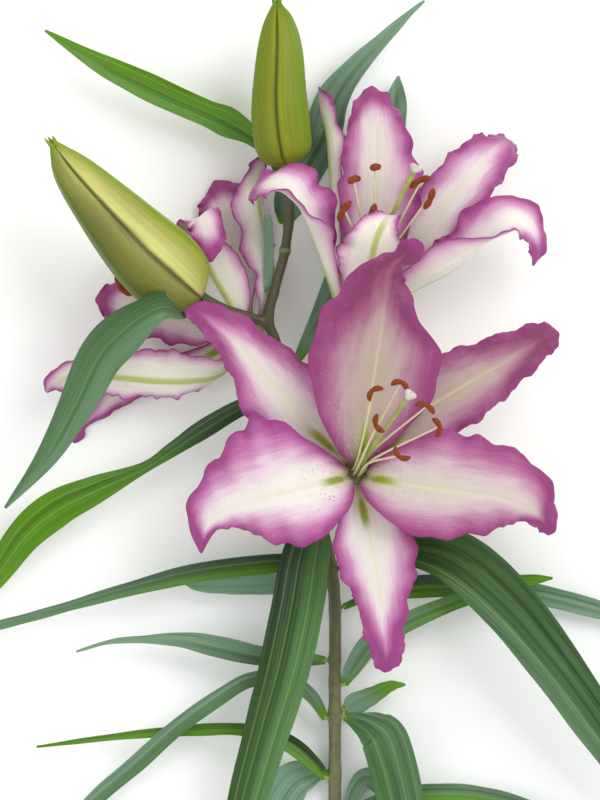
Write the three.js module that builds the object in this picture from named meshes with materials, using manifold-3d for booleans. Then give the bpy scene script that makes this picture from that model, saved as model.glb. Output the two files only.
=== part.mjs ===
// Cut lily: one stem with three open blooms, two buds and twenty leaves, lying on a surface.
// Millimetres. +Z is up, +Y runs from the cut end of the stem towards the blooms.
// Everything is placed in the plan of the plant seen from above, and PLAN_SHIFT then moves
// the whole of it so that the middle of its outline is over the origin.

import * as THREE from "three";
import { mergeVertices } from "three/addons/utils/BufferGeometryUtils.js";
import Module from "manifold-3d";

const wasm = await Module();
wasm.setup();

// ---------------------------------------------------------------- driving dimensions

const PLAN_SHIFT = new THREE.Vector3(-7.5, 64.5, 0);

const STEM_END_RADIUS = 3.4;       // at the cut
const STEM_TOP_RADIUS = 2.3;       // under the top bud
const STEM_SIDES = 10;
const STEM_STEPS = 22;
const PEDICEL_RADIUS = 2.3;        // each branch that carries a bloom or a bud
const PEDICEL_SIDES = 8;
const PEDICEL_STEPS = 5;

const TEPAL_THICKNESS = 1.3;       // along the midrib
const TEPAL_EDGE = 0.85;           // at the margins
const LEAF_THICKNESS = 0.9;

const INNER_CLAW_RADIUS = 4.3;     // the three petals start on this circle
const OUTER_CLAW_RADIUS = 6.7;     // the three sepals start on this one
const RECEPTACLE_RADIUS = 5.8;
const RECEPTACLE_HEIGHT = 3.5;
const RECEPTACLE_SIDES = 12;
const RECEPTACLE_FLARE = 0.6;      // below one: the cup widens at once and then slower
const SEAT_GAP = 1.5;              // between a receptacle and what stands on it

const FILAMENT_RADIUS = 0.7;
const FILAMENT_SIDES = 5;
const FILAMENT_STEPS = 5;
const FILAMENT_ROOT = 1;           // how deep its foot is sunk in the ring
const ANTHER_LENGTH = 12;
const ANTHER_RADIUS = 1.9;
const ANTHER_BOW = 1.2;            // how far its two ends hang below its middle
const ANTHER_TIP = 0.25;           // its radius at the ends, as a share of the middle's
const ANTHER_SIDES = 5;
const STAMEN_RING = { inner: 2, outer: 3, height: 2.4, rise: 9, spread: 4.4 };

const OVARY_RADIUS = 1.4;
const OVARY_LENGTH = 12;
const OVARY_SHARE = 0.16;          // of the whole pistil
const STYLE_RADIUS = 1.1;
const STIGMA_RADIUS = 2.9;
const STIGMA_FLATNESS = 0.7;       // its height as a share of its width
const PISTIL_SIDES = 7;
const PISTIL_STEPS = 12;
const PISTIL_LIFT = 0.1;           // its foot stands this far above the ring's lower face

const BUD_LOBES = 0.05;            // how far the three outer tepals of a bud stand out, as a share
const BUD_SIDES = 15;
const BUD_STEPS = 12;

const TEPAL_STEPS = { along: 15, across: 6 };   // rows and columns of small quads
const LEAF_STEPS = { along: 8, across: 4 };

// Waves of the margins: how high, how many along the blade, from which share of the half-width
// outwards, and by which share they widen and narrow the blade.
const TEPAL_WAVES = { height: 2.4, count: 5, from: 0.4, width: 0.05 };
const LEAF_WAVES = { height: 1.2, count: 2, from: 0.3, width: 0 };
const WAVES_RISE = [0.18, 0.5];    // shares of the length between which the waves set in
const WAVES_FALL = [0.93, 1];      // and between which they fade out again
const FULL_WAVE_WIDTH = 12;        // narrower blades have lower waves
const HAND_LAG = 0.9;              // radians between the waves of the two margins
const OUTLINE_BEAT = 1.7;          // waves of the outline to one wave of the surface
const BASE_TWIST = [0.08, 0.45];   // a tepal turns from its claw's plane to its own in between
const PHASE_STEP = { tepal: 1.3, leaf: 0.8 };
const LEAF_CUP = 24;               // degrees

// ---------------------------------------------------------------- materials

const material = (colour, roughness) =>
  new THREE.MeshStandardMaterial({ color: colour, roughness, metalness: 0 });

const STEM = material("#6b6b4a", 0.6);
const LEAF = material("#3f6338", 0.45);
const BUD = material("#90a53a", 0.5);
const PETAL = material("#e3c3dc", 0.55);
const PISTIL = material("#8d9b4a", 0.4);
const STAMEN = material("#8a3e12", 0.8);

// ---------------------------------------------------------------- small helpers

const UP = new THREE.Vector3(0, 0, 1);
const GRADED_POINTS = 80;
const WELD = 1e-4;                 // corners closer than this are one
const FLAT = 1e-4;                 // radians of cup that count as none
const vector = ([x, y, z]) => new THREE.Vector3(x, y, z);
const through = (points) => new THREE.CatmullRomCurve3(points, false, "catmullrom", 0.5);
const smoothstep = (from, to, value) => THREE.MathUtils.smoothstep(value, from, to);

function geometryOf(points, triangles) {
  const geometry = new THREE.BufferGeometry();
  const numbers = points.flatMap((point) => point.toArray());
  geometry.setAttribute("position", new THREE.Float32BufferAttribute(numbers, 3));
  geometry.setIndex(triangles.flat());
  return geometry;
}

function solidOf(geometry) {
  const bare = geometry.clone();
  bare.deleteAttribute("normal");
  bare.deleteAttribute("uv");
  const merged = mergeVertices(bare, WELD);
  return new wasm.Manifold(new wasm.Mesh({
    numProp: 3,
    vertProperties: new Float32Array(merged.attributes.position.array),
    triVerts: new Uint32Array(merged.index.array),
  }));
}

function meshOf(solid) {
  const mesh = solid.getMesh();
  const geometry = new THREE.BufferGeometry();
  geometry.setAttribute("position", new THREE.BufferAttribute(mesh.vertProperties, 3));
  geometry.setIndex(new THREE.BufferAttribute(mesh.triVerts, 1));
  return geometry;
}

const union = (geometries) => geometries.map(solidOf).reduce((whole, piece) => whole.add(piece));
const joined = (geometries) => meshOf(union(geometries));

// What reaches below the surface that the lily lies on is cut off, which leaves a small flat spot.
const restedOnGround = (geometry) => meshOf(solidOf(geometry).trimByPlane([0, 0, 1], 0));

// ---------------------------------------------------------------- blades: tepals and leaves

// A blade is a thin sheet about a midrib. Each row of a blade is
// [x, y, z, left half-width, right half-width, cup in degrees, roll in degrees],
// and a smooth curve runs through the rows. Left is as seen from the upper face, looking from
// the base to the tip. A cup above zero lifts both margins towards the upper face.
function bladeSurface({ rows, side, baseSide, waves, phase }) {
  const midrib = through(rows.map(vector));
  const halves = through(rows.map((row) => new THREE.Vector3(row[3], row[4], 0)));
  const angles = through(rows.map((row) => new THREE.Vector3(row[5] ?? 0, row[6] ?? 0, 0)));

  return (along, across) => {
    const centre = midrib.getPoint(along);
    const tangent = midrib.getTangent(along);
    const left = side ? side.clone() : UP.clone().cross(tangent);
    if (baseSide) left.lerp(baseSide, 1 - smoothstep(...BASE_TWIST, along));
    left.addScaledVector(tangent, -left.dot(tangent)).normalize();
    const { x: leftHalf, y: rightHalf } = halves.getPoint(along);
    const { x: cupDegrees, y: rollDegrees } = angles.getPoint(along);
    left.applyAxisAngle(tangent, THREE.MathUtils.degToRad(rollDegrees));
    const face = tangent.clone().cross(left);

    const hand = Math.sign(across);
    const reach = Math.abs(across);
    const beat = 2 * Math.PI * waves.count * along + phase + hand * HAND_LAG;
    const fade = smoothstep(...WAVES_RISE, along) * (1 - smoothstep(...WAVES_FALL, along));
    const swell = 1 + waves.width * fade * Math.sin(OUTLINE_BEAT * beat);
    const width = (across > 0 ? leftHalf : rightHalf) * swell;
    const cup = THREE.MathUtils.degToRad(cupDegrees) || FLAT;
    const sideways = hand * width * Math.sin(cup * reach) / cup;
    const edge = Math.max(0, (reach - waves.from) / (1 - waves.from)) ** 1.5;
    const size = waves.height * Math.min(1, width / FULL_WAVE_WIDTH);
    const lift = width * (1 - Math.cos(cup * reach)) / cup + size * edge * fade * Math.sin(beat);

    const point = centre.addScaledVector(left, sideways).addScaledVector(face, lift);
    const normal = face.multiplyScalar(Math.cos(cup * reach));
    normal.addScaledVector(left, -hand * Math.sin(cup * reach));
    return { point, normal, reach };
  };
}

// The sheet is closed into a thin solid: an upper and a lower grid, split into triangles alike,
// and a strip all round that joins them.
function bladeGeometry(blade, steps, thickness, edgeThickness) {
  const surface = bladeSurface(blade);
  const columns = steps.across + 1;
  const points = [];
  for (const face of [1, -1]) {
    for (let i = 0; i <= steps.along; i += 1) {
      for (let j = 0; j <= steps.across; j += 1) {
        const { point, normal, reach } = surface(i / steps.along, 1 - (2 * j) / steps.across);
        const depth = THREE.MathUtils.lerp(thickness, edgeThickness, reach) / 2;
        points.push(point.addScaledVector(normal, face * depth));
      }
    }
  }
  const lower = (steps.along + 1) * columns;
  const at = (i, j) => i * columns + j;
  const triangles = [];
  for (let i = 0; i < steps.along; i += 1) {
    for (let j = 0; j < steps.across; j += 1) {
      const [a, b, c, d] = [at(i, j), at(i + 1, j), at(i + 1, j + 1), at(i, j + 1)];
      triangles.push([a, d, c], [a, c, b]);
      triangles.push([a + lower, c + lower, d + lower], [a + lower, b + lower, c + lower]);
    }
  }
  const rim = [];
  for (let j = 0; j < steps.across; j += 1) rim.push(at(0, j));
  for (let i = 0; i < steps.along; i += 1) rim.push(at(i, steps.across));
  for (let j = steps.across; j > 0; j -= 1) rim.push(at(steps.along, j));
  for (let i = steps.along; i > 0; i -= 1) rim.push(at(i, 0));
  rim.forEach((a, k) => {
    const b = rim[(k + 1) % rim.length];
    triangles.push([a, a + lower, b], [b, a + lower, b + lower]);
  });
  return geometryOf(points, triangles);
}

// ---------------------------------------------------------------- limbs: stems, buds, filaments

// A limb is a closed tube along a curve, with its own radius at each step and round or lobed
// sections. radiusAt takes the share of the length, and section the angle round the limb.
function limbGeometry(path, radiusAt, sides, steps, section = () => 1) {
  const frames = path.computeFrenetFrames(steps, false);
  const points = [];
  for (let i = 0; i <= steps; i += 1) {
    const centre = path.getPointAt(i / steps);
    for (let k = 0; k < sides; k += 1) {
      const turn = (2 * Math.PI * k) / sides;
      const radius = radiusAt(i / steps) * section(turn);
      points.push(centre.clone()
        .addScaledVector(frames.normals[i], radius * Math.cos(turn))
        .addScaledVector(frames.binormals[i], radius * Math.sin(turn)));
    }
  }
  const triangles = [];
  for (let i = 0; i < steps; i += 1) {
    for (let k = 0; k < sides; k += 1) {
      const next = (k + 1) % sides;
      const [a, b, c, d] = [i * sides + k, i * sides + next, (i + 1) * sides + next, (i + 1) * sides + k];
      triangles.push([a, b, c], [a, c, d]);
    }
  }
  points.push(path.getPoint(0), path.getPoint(1));
  const [first, last] = [points.length - 2, points.length - 1];
  for (let k = 0; k < sides; k += 1) {
    const next = (k + 1) % sides;
    triangles.push([first, next, k], [last, steps * sides + k, steps * sides + next]);
  }
  return geometryOf(points, triangles);
}

// A smooth run of radii through [share of the length, radius] pairs.
const graded = (values) => {
  const curve = through(values.map(([share, value]) => new THREE.Vector3(share, value, 0)));
  const table = curve.getPoints(GRADED_POINTS);
  return (share) => {
    const next = table.find((entry) => entry.x >= share) ?? table.at(-1);
    return next.y;
  };
};

// ---------------------------------------------------------------- the stem and what it carries

const BLOOMS = {
  front: {
    base: new THREE.Vector3(28.5, -36, 36),
    axis: new THREE.Vector3(0.12, 0.16, 1).normalize(),
    branch: [[11, -62, 17.8], [20, -54, 22], [27, -42, 29]],
  },
  right: {
    base: new THREE.Vector3(25, 37.5, 24),
    axis: new THREE.Vector3(0.296, 0.793, 0.533).normalize(),
    branch: [[-7.5, 12, 24], [6, 17, 19.5], [18, 27, 18]],
  },
  left: {
    base: new THREE.Vector3(-21.5, 28, 15.5),
    axis: new THREE.Vector3(-0.857, 0.504, 0.1).normalize(),
    branch: [[-8.5, 17, 24], [-9, 20.5, 18]],
  },
};

const STEM_END_Y = -330;
const STEM_CUT = [0, 0.86, 0.5];   // the slanted face of the cut looks against this direction
const STEM_PATH = [
  [17.5, STEM_END_Y - 5, 2.7], [17.5, -260, 6], [17.5, -200, 8], [17.5, -150, 11], [17, -95, 15],
  [10, -60, 18], [0, -25, 21], [-7.5, 12, 24], [-12.5, 30, 26], [-16, 41, 27],
  [-11.5, 60, 28], [-7.5, 75, 29], [-5, 97.5, 30], [-6, 115.8, 32],
];

const BUD_BRANCH = [[-15.5, 38, 27], [-24, 41.5, 30], [-38, 45.5, 37], [-49.3, 50.4, 42]];

function receptacleGeometry({ base, axis }) {
  const foot = base.clone().addScaledVector(axis, -SEAT_GAP);
  const path = new THREE.LineCurve3(foot.clone().addScaledVector(axis, -RECEPTACLE_HEIGHT), foot);
  const growth = RECEPTACLE_RADIUS - PEDICEL_RADIUS;
  const radiusAt = (share) => PEDICEL_RADIUS + growth * share ** RECEPTACLE_FLARE;
  return limbGeometry(path, radiusAt, RECEPTACLE_SIDES, 2);
}

const pedicelGeometry = (path) => limbGeometry(path, () => PEDICEL_RADIUS, PEDICEL_SIDES, PEDICEL_STEPS);

function stemGeometry() {
  const stem = through(STEM_PATH.map(vector));
  const stemRadius = (share) => THREE.MathUtils.lerp(STEM_END_RADIUS, STEM_TOP_RADIUS, share);
  const pieces = [limbGeometry(stem, stemRadius, STEM_SIDES, STEM_STEPS)];
  for (const bloom of Object.values(BLOOMS)) {
    const end = bloom.base.clone().addScaledVector(bloom.axis, -SEAT_GAP - RECEPTACLE_HEIGHT / 2);
    const path = through([...bloom.branch.map(vector), end]);
    pieces.push(pedicelGeometry(path), receptacleGeometry(bloom));
  }
  pieces.push(pedicelGeometry(through(BUD_BRANCH.map(vector))));
  const [, acrossCut, upCut] = STEM_CUT;
  return meshOf(union(pieces).trimByPlane(STEM_CUT, acrossCut * STEM_END_Y + upCut * STEM_END_RADIUS)
    .trimByPlane([0, 0, 1], 0));
}

// ---------------------------------------------------------------- blooms

const TEPALS = {
  front: {
    petal_top: { turn: 100, rows: [
      [0, 0, 0, 3.5, 3.5, 57], [30.2, -27.2, 49, 8, 8, 52], [31.8, -20, 60, 16, 15, 28],
      [33.5, -8, 66, 25, 23, 12], [36.5, 10, 71, 32, 32, 0], [39.5, 28, 75, 33.5, 30, -8],
      [42, 46, 77, 27.5, 16, -8], [43.5, 59, 77, 18.5, 10.5, 0], [46, 66, 77.5, 10.5, 6.5, 10],
      [49.5, 70, 79, 5, 4.5, 15], [54.5, 73.5, 81, 7, 6.5, 20], [59.5, 76.5, 82.5, 4.5, 4.5, 15],
      [61.3, 77.6, 83, 0.8, 0.8, 0]] },
    petal_left: { turn: 207, rows: [
      [0, 0, 0, 3.5, 3.5, 57], [21.5, -39.4, 50, 8, 8, 52], [14, -41, 60, 20, 17, 28],
      [0, -44.5, 64, 28, 34, 10], [-14, -48, 65, 25, 41, 0], [-27, -51.5, 63, 17, 31, -8],
      [-38, -56, 59, 9, 22, -8], [-46, -63, 53, 5, 12, 0], [-49.5, -76.5, 46, 0.6, 0.6, 0]] },
    petal_right: { turn: 337, rows: [
      [0, 0, 0, 3.5, 3.5, 57], [36, -39.4, 50, 8, 8, 52], [43, -40.3, 60, 16, 16, 28],
      [55, -42.5, 64, 25, 23, 10], [70, -44.5, 66, 30, 25, 0], [85, -46.5, 65, 28, 22, -6],
      [100, -49, 62, 26, 17, -10], [112, -53, 57, 20, 10, -8], [120, -59, 51, 11, 5, 0],
      [124, -64.5, 48, 5, 4.5, 0], [124.5, -67.5, 46, 0.8, 0.8, 0]] },
    sepal_left: { turn: 143, rows: [
      [0, 0, 0, 5, 5, 57], [19.5, -28, 45, 7, 7, 45], [11, -20, 52, 12, 12, 30],
      [0, -10, 55, 17, 17, 15], [-12, 6, 55, 20.5, 20, 8], [-25, 21, 53, 13, 15, 0],
      [-38, 34, 53, 9, 12.5, -8], [-49, 43, 54, 6.5, 7, -8], [-55.5, 45.5, 54, 4.5, 4.5, -4],
      [-58.3, 46, 54, 0.8, 0.8, 0]] },
    sepal_right: { turn: 32, rows: [
      [0, 0, 0, 5, 5, 57], [38.5, -29.5, 45, 7, 7, 45], [47, -21, 52, 12, 12, 30],
      [58, -8, 55, 17, 17, 15], [74, 2.5, 55, 21, 19, 8], [90, 12, 54, 17, 17, 0],
      [105, 20.5, 52, 14, 13, -8], [119, 29, 49, 10, 9, -8], [126, 32, 47, 7, 7, -6],
      [129.6, 33.3, 46, 0.8, 0.8, 0]] },
    sepal_bottom: { turn: 277, rows: [
      [0, 0, 0, 5, 5, 57], [30, -48, 45, 7, 7, 45], [32, -57, 51, 13, 13, 30],
      [35, -70, 54, 21, 19, 15], [38, -86, 54, 21, 17, 8], [40, -100, 52, 15, 12, 0],
      [41.5, -115, 49, 11, 10, -8], [43, -127, 46, 9, 7.5, -8], [42.7, -133.5, 44, 5.5, 5.5, -4],
      [42.5, -136.3, 43, 0.8, 0.8, 0]] },
  },
  right: {
    petal_top: { turn: 90, side: [-1, 0, 0], rows: [
      [0, 0, 0, 3.5, 3.5, 57], [30.9, 57.3, 30, 7, 7, 52], [36.2, 74, 36, 13, 14, 42],
      [37, 92, 39, 18, 21, 25], [37.5, 110, 40, 17.5, 24, 10], [38, 128, 38, 16, 18, 0],
      [37, 144, 33, 12, 13, -10], [36, 153, 27, 7, 8, -10], [36, 157.5, 22, 0.8, 0.8, 0]] },
    petal_left: { turn: 210, side: [-0.12, -0.6, 0.82], rows: [
      [0, 0, 0, 3.5, 3.5, 57], [16.5, 55, 40, 6, 7, 62], [11.5, 69, 50, 9.5, 13, 88],
      [7, 82, 56, 15.5, 17, 105], [3, 92, 61, 19, 20, 85], [-2, 101, 63, 15, 20, 50],
      [-10, 108, 60, 13, 16, 15], [-18, 107.5, 55, 12, 12, 0], [-23.5, 104.5, 49, 7.5, 7.5, -8],
      [-25.3, 101.5, 45, 0.8, 0.8, 0]] },
    petal_right: { turn: 330, side: [-0.3, 0.38, -0.87], rows: [
      [0, 0, 0, 3.5, 3.5, 57], [42, 48, 37.5, 6.5, 6.5, 56], [59, 56.5, 47.5, 13, 18, 90, -12],
      [77, 66, 52, 21, 24, 105, -18], [92, 80, 52, 19, 20, 75, 0], [105, 90, 50, 15, 14, 36, 30],
      [114.5, 87, 46, 10, 9.5, 15, 50], [119, 77, 40, 7, 6, 5, 62], [117, 67.5, 35, 0.8, 0.8, 0, 62]] },
    sepal_right: { turn: 30, side: [-0.8, 0.6, 0], rests: true, rows: [
      [0, 0, 0, 5, 5, 57], [38, 55, 22.5, 5, 5.5, 46], [49.5, 70, 27, 12, 10, 36],
      [62, 83, 33, 16, 16, 20], [78, 104, 34, 15, 15, 8], [90, 118, 31, 14, 14, 0],
      [100, 127, 22, 10, 11, -8], [105, 130, 10, 6, 6, -8], [107, 129, -0.3, 1, 1, 0]] },
    sepal_left: { turn: 150, side: [0.4, 0, 0.9], rows: [
      [0, 0, 0, 4.5, 5, 57], [19.5, 59, 23.5, 4.5, 5.5, 46], [18, 77, 28, 6, 8, 48],
      [16.5, 98, 28, 7, 8, 52], [15.5, 117, 28.5, 9, 8, 54], [14, 134, 29, 10, 8, 50],
      [11, 149, 24, 7, 6, 30], [9.5, 157, 20, 0.8, 0.8, 0]] },
    sepal_front: { turn: 270, side: [1, 0, 0], rows: [
      [0, 0, 0, 5, 5, 57], [29, 46, 43, 6.5, 6.5, 46], [33, 57, 52, 14, 14, 42],
      [35.5, 69, 60, 17, 18, 32], [38, 80, 66, 14, 14, 15], [42, 88, 67, 9, 9, 0],
      [47, 91.5, 64, 4, 4, 0], [49.5, 90.5, 61, 0.8, 0.8, 0]] },
  },
  left: {
    sepal_upper: { turn: 330, side: [0.6, 0.14, -0.8], rows: [
      [0, 0, 0, 4.6, 4.2, 57], [-19.5, 39, 20.5, 5, 4.6, 48], [-15.5, 50, 19.5, 6.5, 9, 48],
      [-13.5, 63, 17.5, 7, 12, 44], [-16.5, 78, 17, 7, 15, 42], [-20.5, 93, 16.5, 7, 15, 42],
      [-21.5, 108, 14, 6, 11, 36], [-19.5, 118, 12, 5, 6, 20], [-18.5, 124.5, 10.5, 0.8, 0.8, 0]] },
    petal_upper: { turn: 30, side: [-0.95, -0.29, -0.08], rows: [
      [0, 0, 0, 3.5, 3.5, 57], [-24.5, 44.5, 8.2, 4.6, 5, 42], [-29, 60, 6.5, 12, 12, 25],
      [-33, 78, 5.5, 15, 15, 10], [-37, 92, 5.5, 15, 15, 0], [-40, 104, 5, 10, 11, -6],
      [-43, 110.5, 4, 0.8, 0.8, 0]] },
    petal_near: { turn: 270, side: [0.8, 0.6, 0], rows: [
      [0, 0, 0, 3.5, 3.5, 57], [-30, 36, 27, 5, 6, 46], [-36, 50, 31, 13, 11.5, 32],
      [-43, 62, 32, 16, 13, 20], [-49, 75, 32.5, 13, 11, 14], [-51, 87, 34, 11, 10, 8],
      [-49.5, 92, 39, 10, 9, 0], [-47, 86, 45, 9.5, 9, -10], [-45.5, 77, 46.5, 7.5, 7, -15],
      [-44.5, 69, 45, 0.8, 0.8, 0]] },
    petal_far: { turn: 150, side: [-0.25, -1, 0], rows: [
      [0, 0, 0, 3.5, 3.5, 57], [-35, 31.5, 12.5, 6, 6, 42], [-48, 37.5, 11.5, 12, 13, 26],
      [-66, 43, 11, 14, 14, 12], [-84, 47, 11, 12, 13, 4], [-97, 50, 11, 9, 9, -5],
      [-103, 50.5, 10.5, 0.8, 0.8, 0]] },
    sepal_lower: { turn: 210, side: [0, 0.93, 0.35], rows: [
      [0, 0, 0, 5, 5, 57], [-31, 20.5, 22, 7, 6, 50], [-42, 12, 26, 11, 8, 42], [-56, 9.7, 28, 14, 9, 34],
      [-72, 9.7, 29, 16, 11, 28], [-92, 11.5, 28.5, 14, 11, 22], [-112, 12, 25, 9, 9, 12],
      [-124, 8.5, 21, 5, 5, 0], [-127.5, 4, 18, 0.8, 0.8, 0]] },
    sepal_far: { turn: 90, side: [0.5, -0.85, 0], rests: true, rows: [
      [0, 0, 0, 4, 3, 45], [-35, 28.5, 5.5, 5, 4, 34], [-54, 18, 4, 7.5, 7.5, 16],
      [-75, 11, 3.6, 7.5, 7.5, 6], [-92, 2.5, 3.4, 6.5, 6.5, 0], [-101, -5, 3, 5, 4.5, 0],
      [-108.5, -12, 2, 2, 2, 0], [-111.5, -17.5, 1.2, 3.2, 3.2, 0], [-114, -21.5, -0.3, 0.8, 0.8, 0]] },
  },
};

// The direction straight out of a bloom's axis at a turn in degrees; 90 points away from the
// viewer who looks down on the plan.
function outwardAt(axis, turn) {
  const across = new THREE.Vector3(1, 0, 0).addScaledVector(axis, -axis.x).normalize();
  return across.applyAxisAngle(axis, THREE.MathUtils.degToRad(turn));
}

function tepalMesh(bloomName, tepalName, { turn, side, rows, rests }, order) {
  const { base, axis } = BLOOMS[bloomName];
  const outward = outwardAt(axis, turn);
  const radius = tepalName.startsWith("petal") ? INNER_CLAW_RADIUS : OUTER_CLAW_RADIUS;
  const foot = base.clone().addScaledVector(outward, radius);
  const blade = {
    rows: rows.map((row, index) => (index === 0 ? [...foot.toArray(), ...row.slice(3)] : row)),
    side: side && vector(side).normalize(),
    baseSide: axis.clone().cross(outward),
    waves: TEPAL_WAVES,
    phase: PHASE_STEP.tepal * order,
  };
  const geometry = bladeGeometry(blade, TEPAL_STEPS, TEPAL_THICKNESS, TEPAL_EDGE);
  return named(`${bloomName}_bloom_${tepalName}`, rests ? restedOnGround(geometry) : geometry, PETAL);
}

const STYLES = {
  front: [[34, -27, 62], [44, -12, 86], [54.5, 2.5, 106]],
  right: [[36.5, 69, 44], [45, 90, 55.5], [57.5, 115.5, 72]],
  left: [[-46, 44, 21], [-66, 57, 23], [-86, 68, 25]],
};

// Where each anther is, which way it lies, and from which side of the ovary its filament comes.
const ANTHERS = {
  front: [
    { at: [36.5, 4, 97], lie: [1, 0.9, 0.1], turn: 160 },
    { at: [50, 8, 101], lie: [1, -0.4, 0], turn: 95 },
    { at: [38.5, -12, 94], lie: [0.4, -1, 0.2], turn: 220 },
    { at: [62.5, -3.5, 98], lie: [1, -0.5, 0.1], turn: 40 },
    { at: [68.5, -13.5, 95], lie: [0.2, -1, 0], turn: 340 },
    { at: [50, -27.5, 92], lie: [1, -0.7, 0], turn: 280 },
  ],
  right: [
    { at: [22.5, 94, 66], lie: [0.5, 0.8, 0.1], turn: 200 },
    { at: [34.5, 93, 62], lie: [0.5, 0.9, 0.1], turn: 265 },
    { at: [27, 109.5, 60], lie: [0.5, 0.2, -1], turn: 150 },
    { at: [37.5, 115.5, 56], lie: [0.3, 0.1, -1], turn: 95 },
    { at: [60, 108.5, 62], lie: [1, 0.5, 0.2], turn: 40 },
    { at: [64, 100.5, 68], lie: [0.4, 0.9, 0.3], turn: 325 },
  ],
  left: [
    { at: [-88, 55.5, 22], lie: [-0.9, 0.7, 0], turn: 160 },
    { at: [-84, 74, 20], lie: [0.6, 0.8, 0.2], turn: 45 },
    { at: [-78, 80, 24], lie: [0.8, 0.5, 0.1], turn: 0 },
    { at: [-80, 60, 27], lie: [0.2, 0.9, 0.2], turn: 220 },
    { at: [-72, 74, 27], lie: [0.5, 0.8, 0.1], turn: 310 },
    { at: [-91, 63, 19], lie: [0.1, 1, 0.1], turn: 100 },
  ],
};

// Six filaments stand on a ring round the foot of the ovary, follow the style with some
// distance to it, and each carries an anther across its end.
function stamensGeometry({ base, axis }, anthers, style) {
  const { inner, outer, height, rise, spread } = STAMEN_RING;
  const profile = [[inner, 0], [outer, 0], [outer, height], [inner, height], [inner, 0]];
  const ring = new THREE.LatheGeometry(profile.map(([x, y]) => new THREE.Vector2(x, y)), 12);
  ring.applyQuaternion(new THREE.Quaternion().setFromUnitVectors(new THREE.Vector3(0, 1, 0), axis));
  ring.translate(base.x, base.y, base.z);
  const pieces = [ring];
  for (const { at, lie, turn } of anthers) {
    const end = vector(at);
    const outward = outwardAt(axis, turn);
    const foot = base.clone().addScaledVector(outward, (inner + outer) / 2);
    foot.addScaledVector(axis, FILAMENT_ROOT);
    const path = through([
      foot,
      foot.clone().addScaledVector(axis, rise),
      vector(style[0]).addScaledVector(outward, spread),
      end,
    ]);
    pieces.push(limbGeometry(path, () => FILAMENT_RADIUS, FILAMENT_SIDES, FILAMENT_STEPS));
    const half = vector(lie).normalize().multiplyScalar(ANTHER_LENGTH / 2);
    const bow = axis.clone().multiplyScalar(ANTHER_BOW);
    const bar = through([end.clone().sub(half).sub(bow), end.clone(), end.clone().add(half).sub(bow)]);
    const fat = (share) => ANTHER_RADIUS * Math.max(ANTHER_TIP, Math.sqrt(1 - (2 * share - 1) ** 2));
    pieces.push(limbGeometry(bar, fat, ANTHER_SIDES, 4));
  }
  return joined(pieces);
}

// The ovary and the style are one limb, with the stigma as a flat knob at its end.
function pistilGeometry({ base, axis }, style) {
  const foot = base.clone().addScaledVector(axis, PISTIL_LIFT);
  const path = through([foot, foot.clone().addScaledVector(axis, OVARY_LENGTH), ...style.map(vector)]);
  const radiusAt = (share) => (share > OVARY_SHARE ? STYLE_RADIUS : OVARY_RADIUS);
  const stigma = new THREE.SphereGeometry(STIGMA_RADIUS, 8, 6).scale(1, STIGMA_FLATNESS, 1);
  stigma.applyQuaternion(new THREE.Quaternion().setFromUnitVectors(new THREE.Vector3(0, 1, 0), axis));
  stigma.translate(...style.at(-1));
  return joined([limbGeometry(path, radiusAt, PISTIL_SIDES, PISTIL_STEPS), stigma]);
}

const BUDS = {
  left: {
    path: [[-50.2, 51.2, 43], [-56, 55.5, 45], [-66, 64, 48], [-80, 77, 52], [-97, 95.4, 56],
      [-114, 114.8, 59], [-124, 129, 61]],
    radius: [[0, 4], [0.05, 8.5], [0.12, 13.5], [0.24, 18.6], [0.38, 20.6], [0.52, 19], [0.68, 15],
      [0.82, 10.4], [0.93, 5.4], [1, 1.4]],
  },
  top: {
    path: [[-5.9, 117.2, 32.4], [-7.4, 124, 33], [-9.2, 136, 34.5], [-10.2, 152.5, 36],
      [-10, 175.5, 37], [-10.5, 190, 37.5], [-11.5, 200, 38]],
    radius: [[0, 4], [0.06, 8.5], [0.13, 12], [0.24, 14.2], [0.42, 14.3], [0.58, 12.6], [0.7, 10.6],
      [0.82, 7.8], [0.93, 4], [1, 1.1]],
  },
};

function budGeometry({ path, radius }) {
  const lobed = (turn) => 1 + BUD_LOBES * Math.cos(3 * turn);
  return limbGeometry(through(path.map(vector)), graded(radius), BUD_SIDES, BUD_STEPS, lobed);
}

// ---------------------------------------------------------------- leaves

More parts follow.
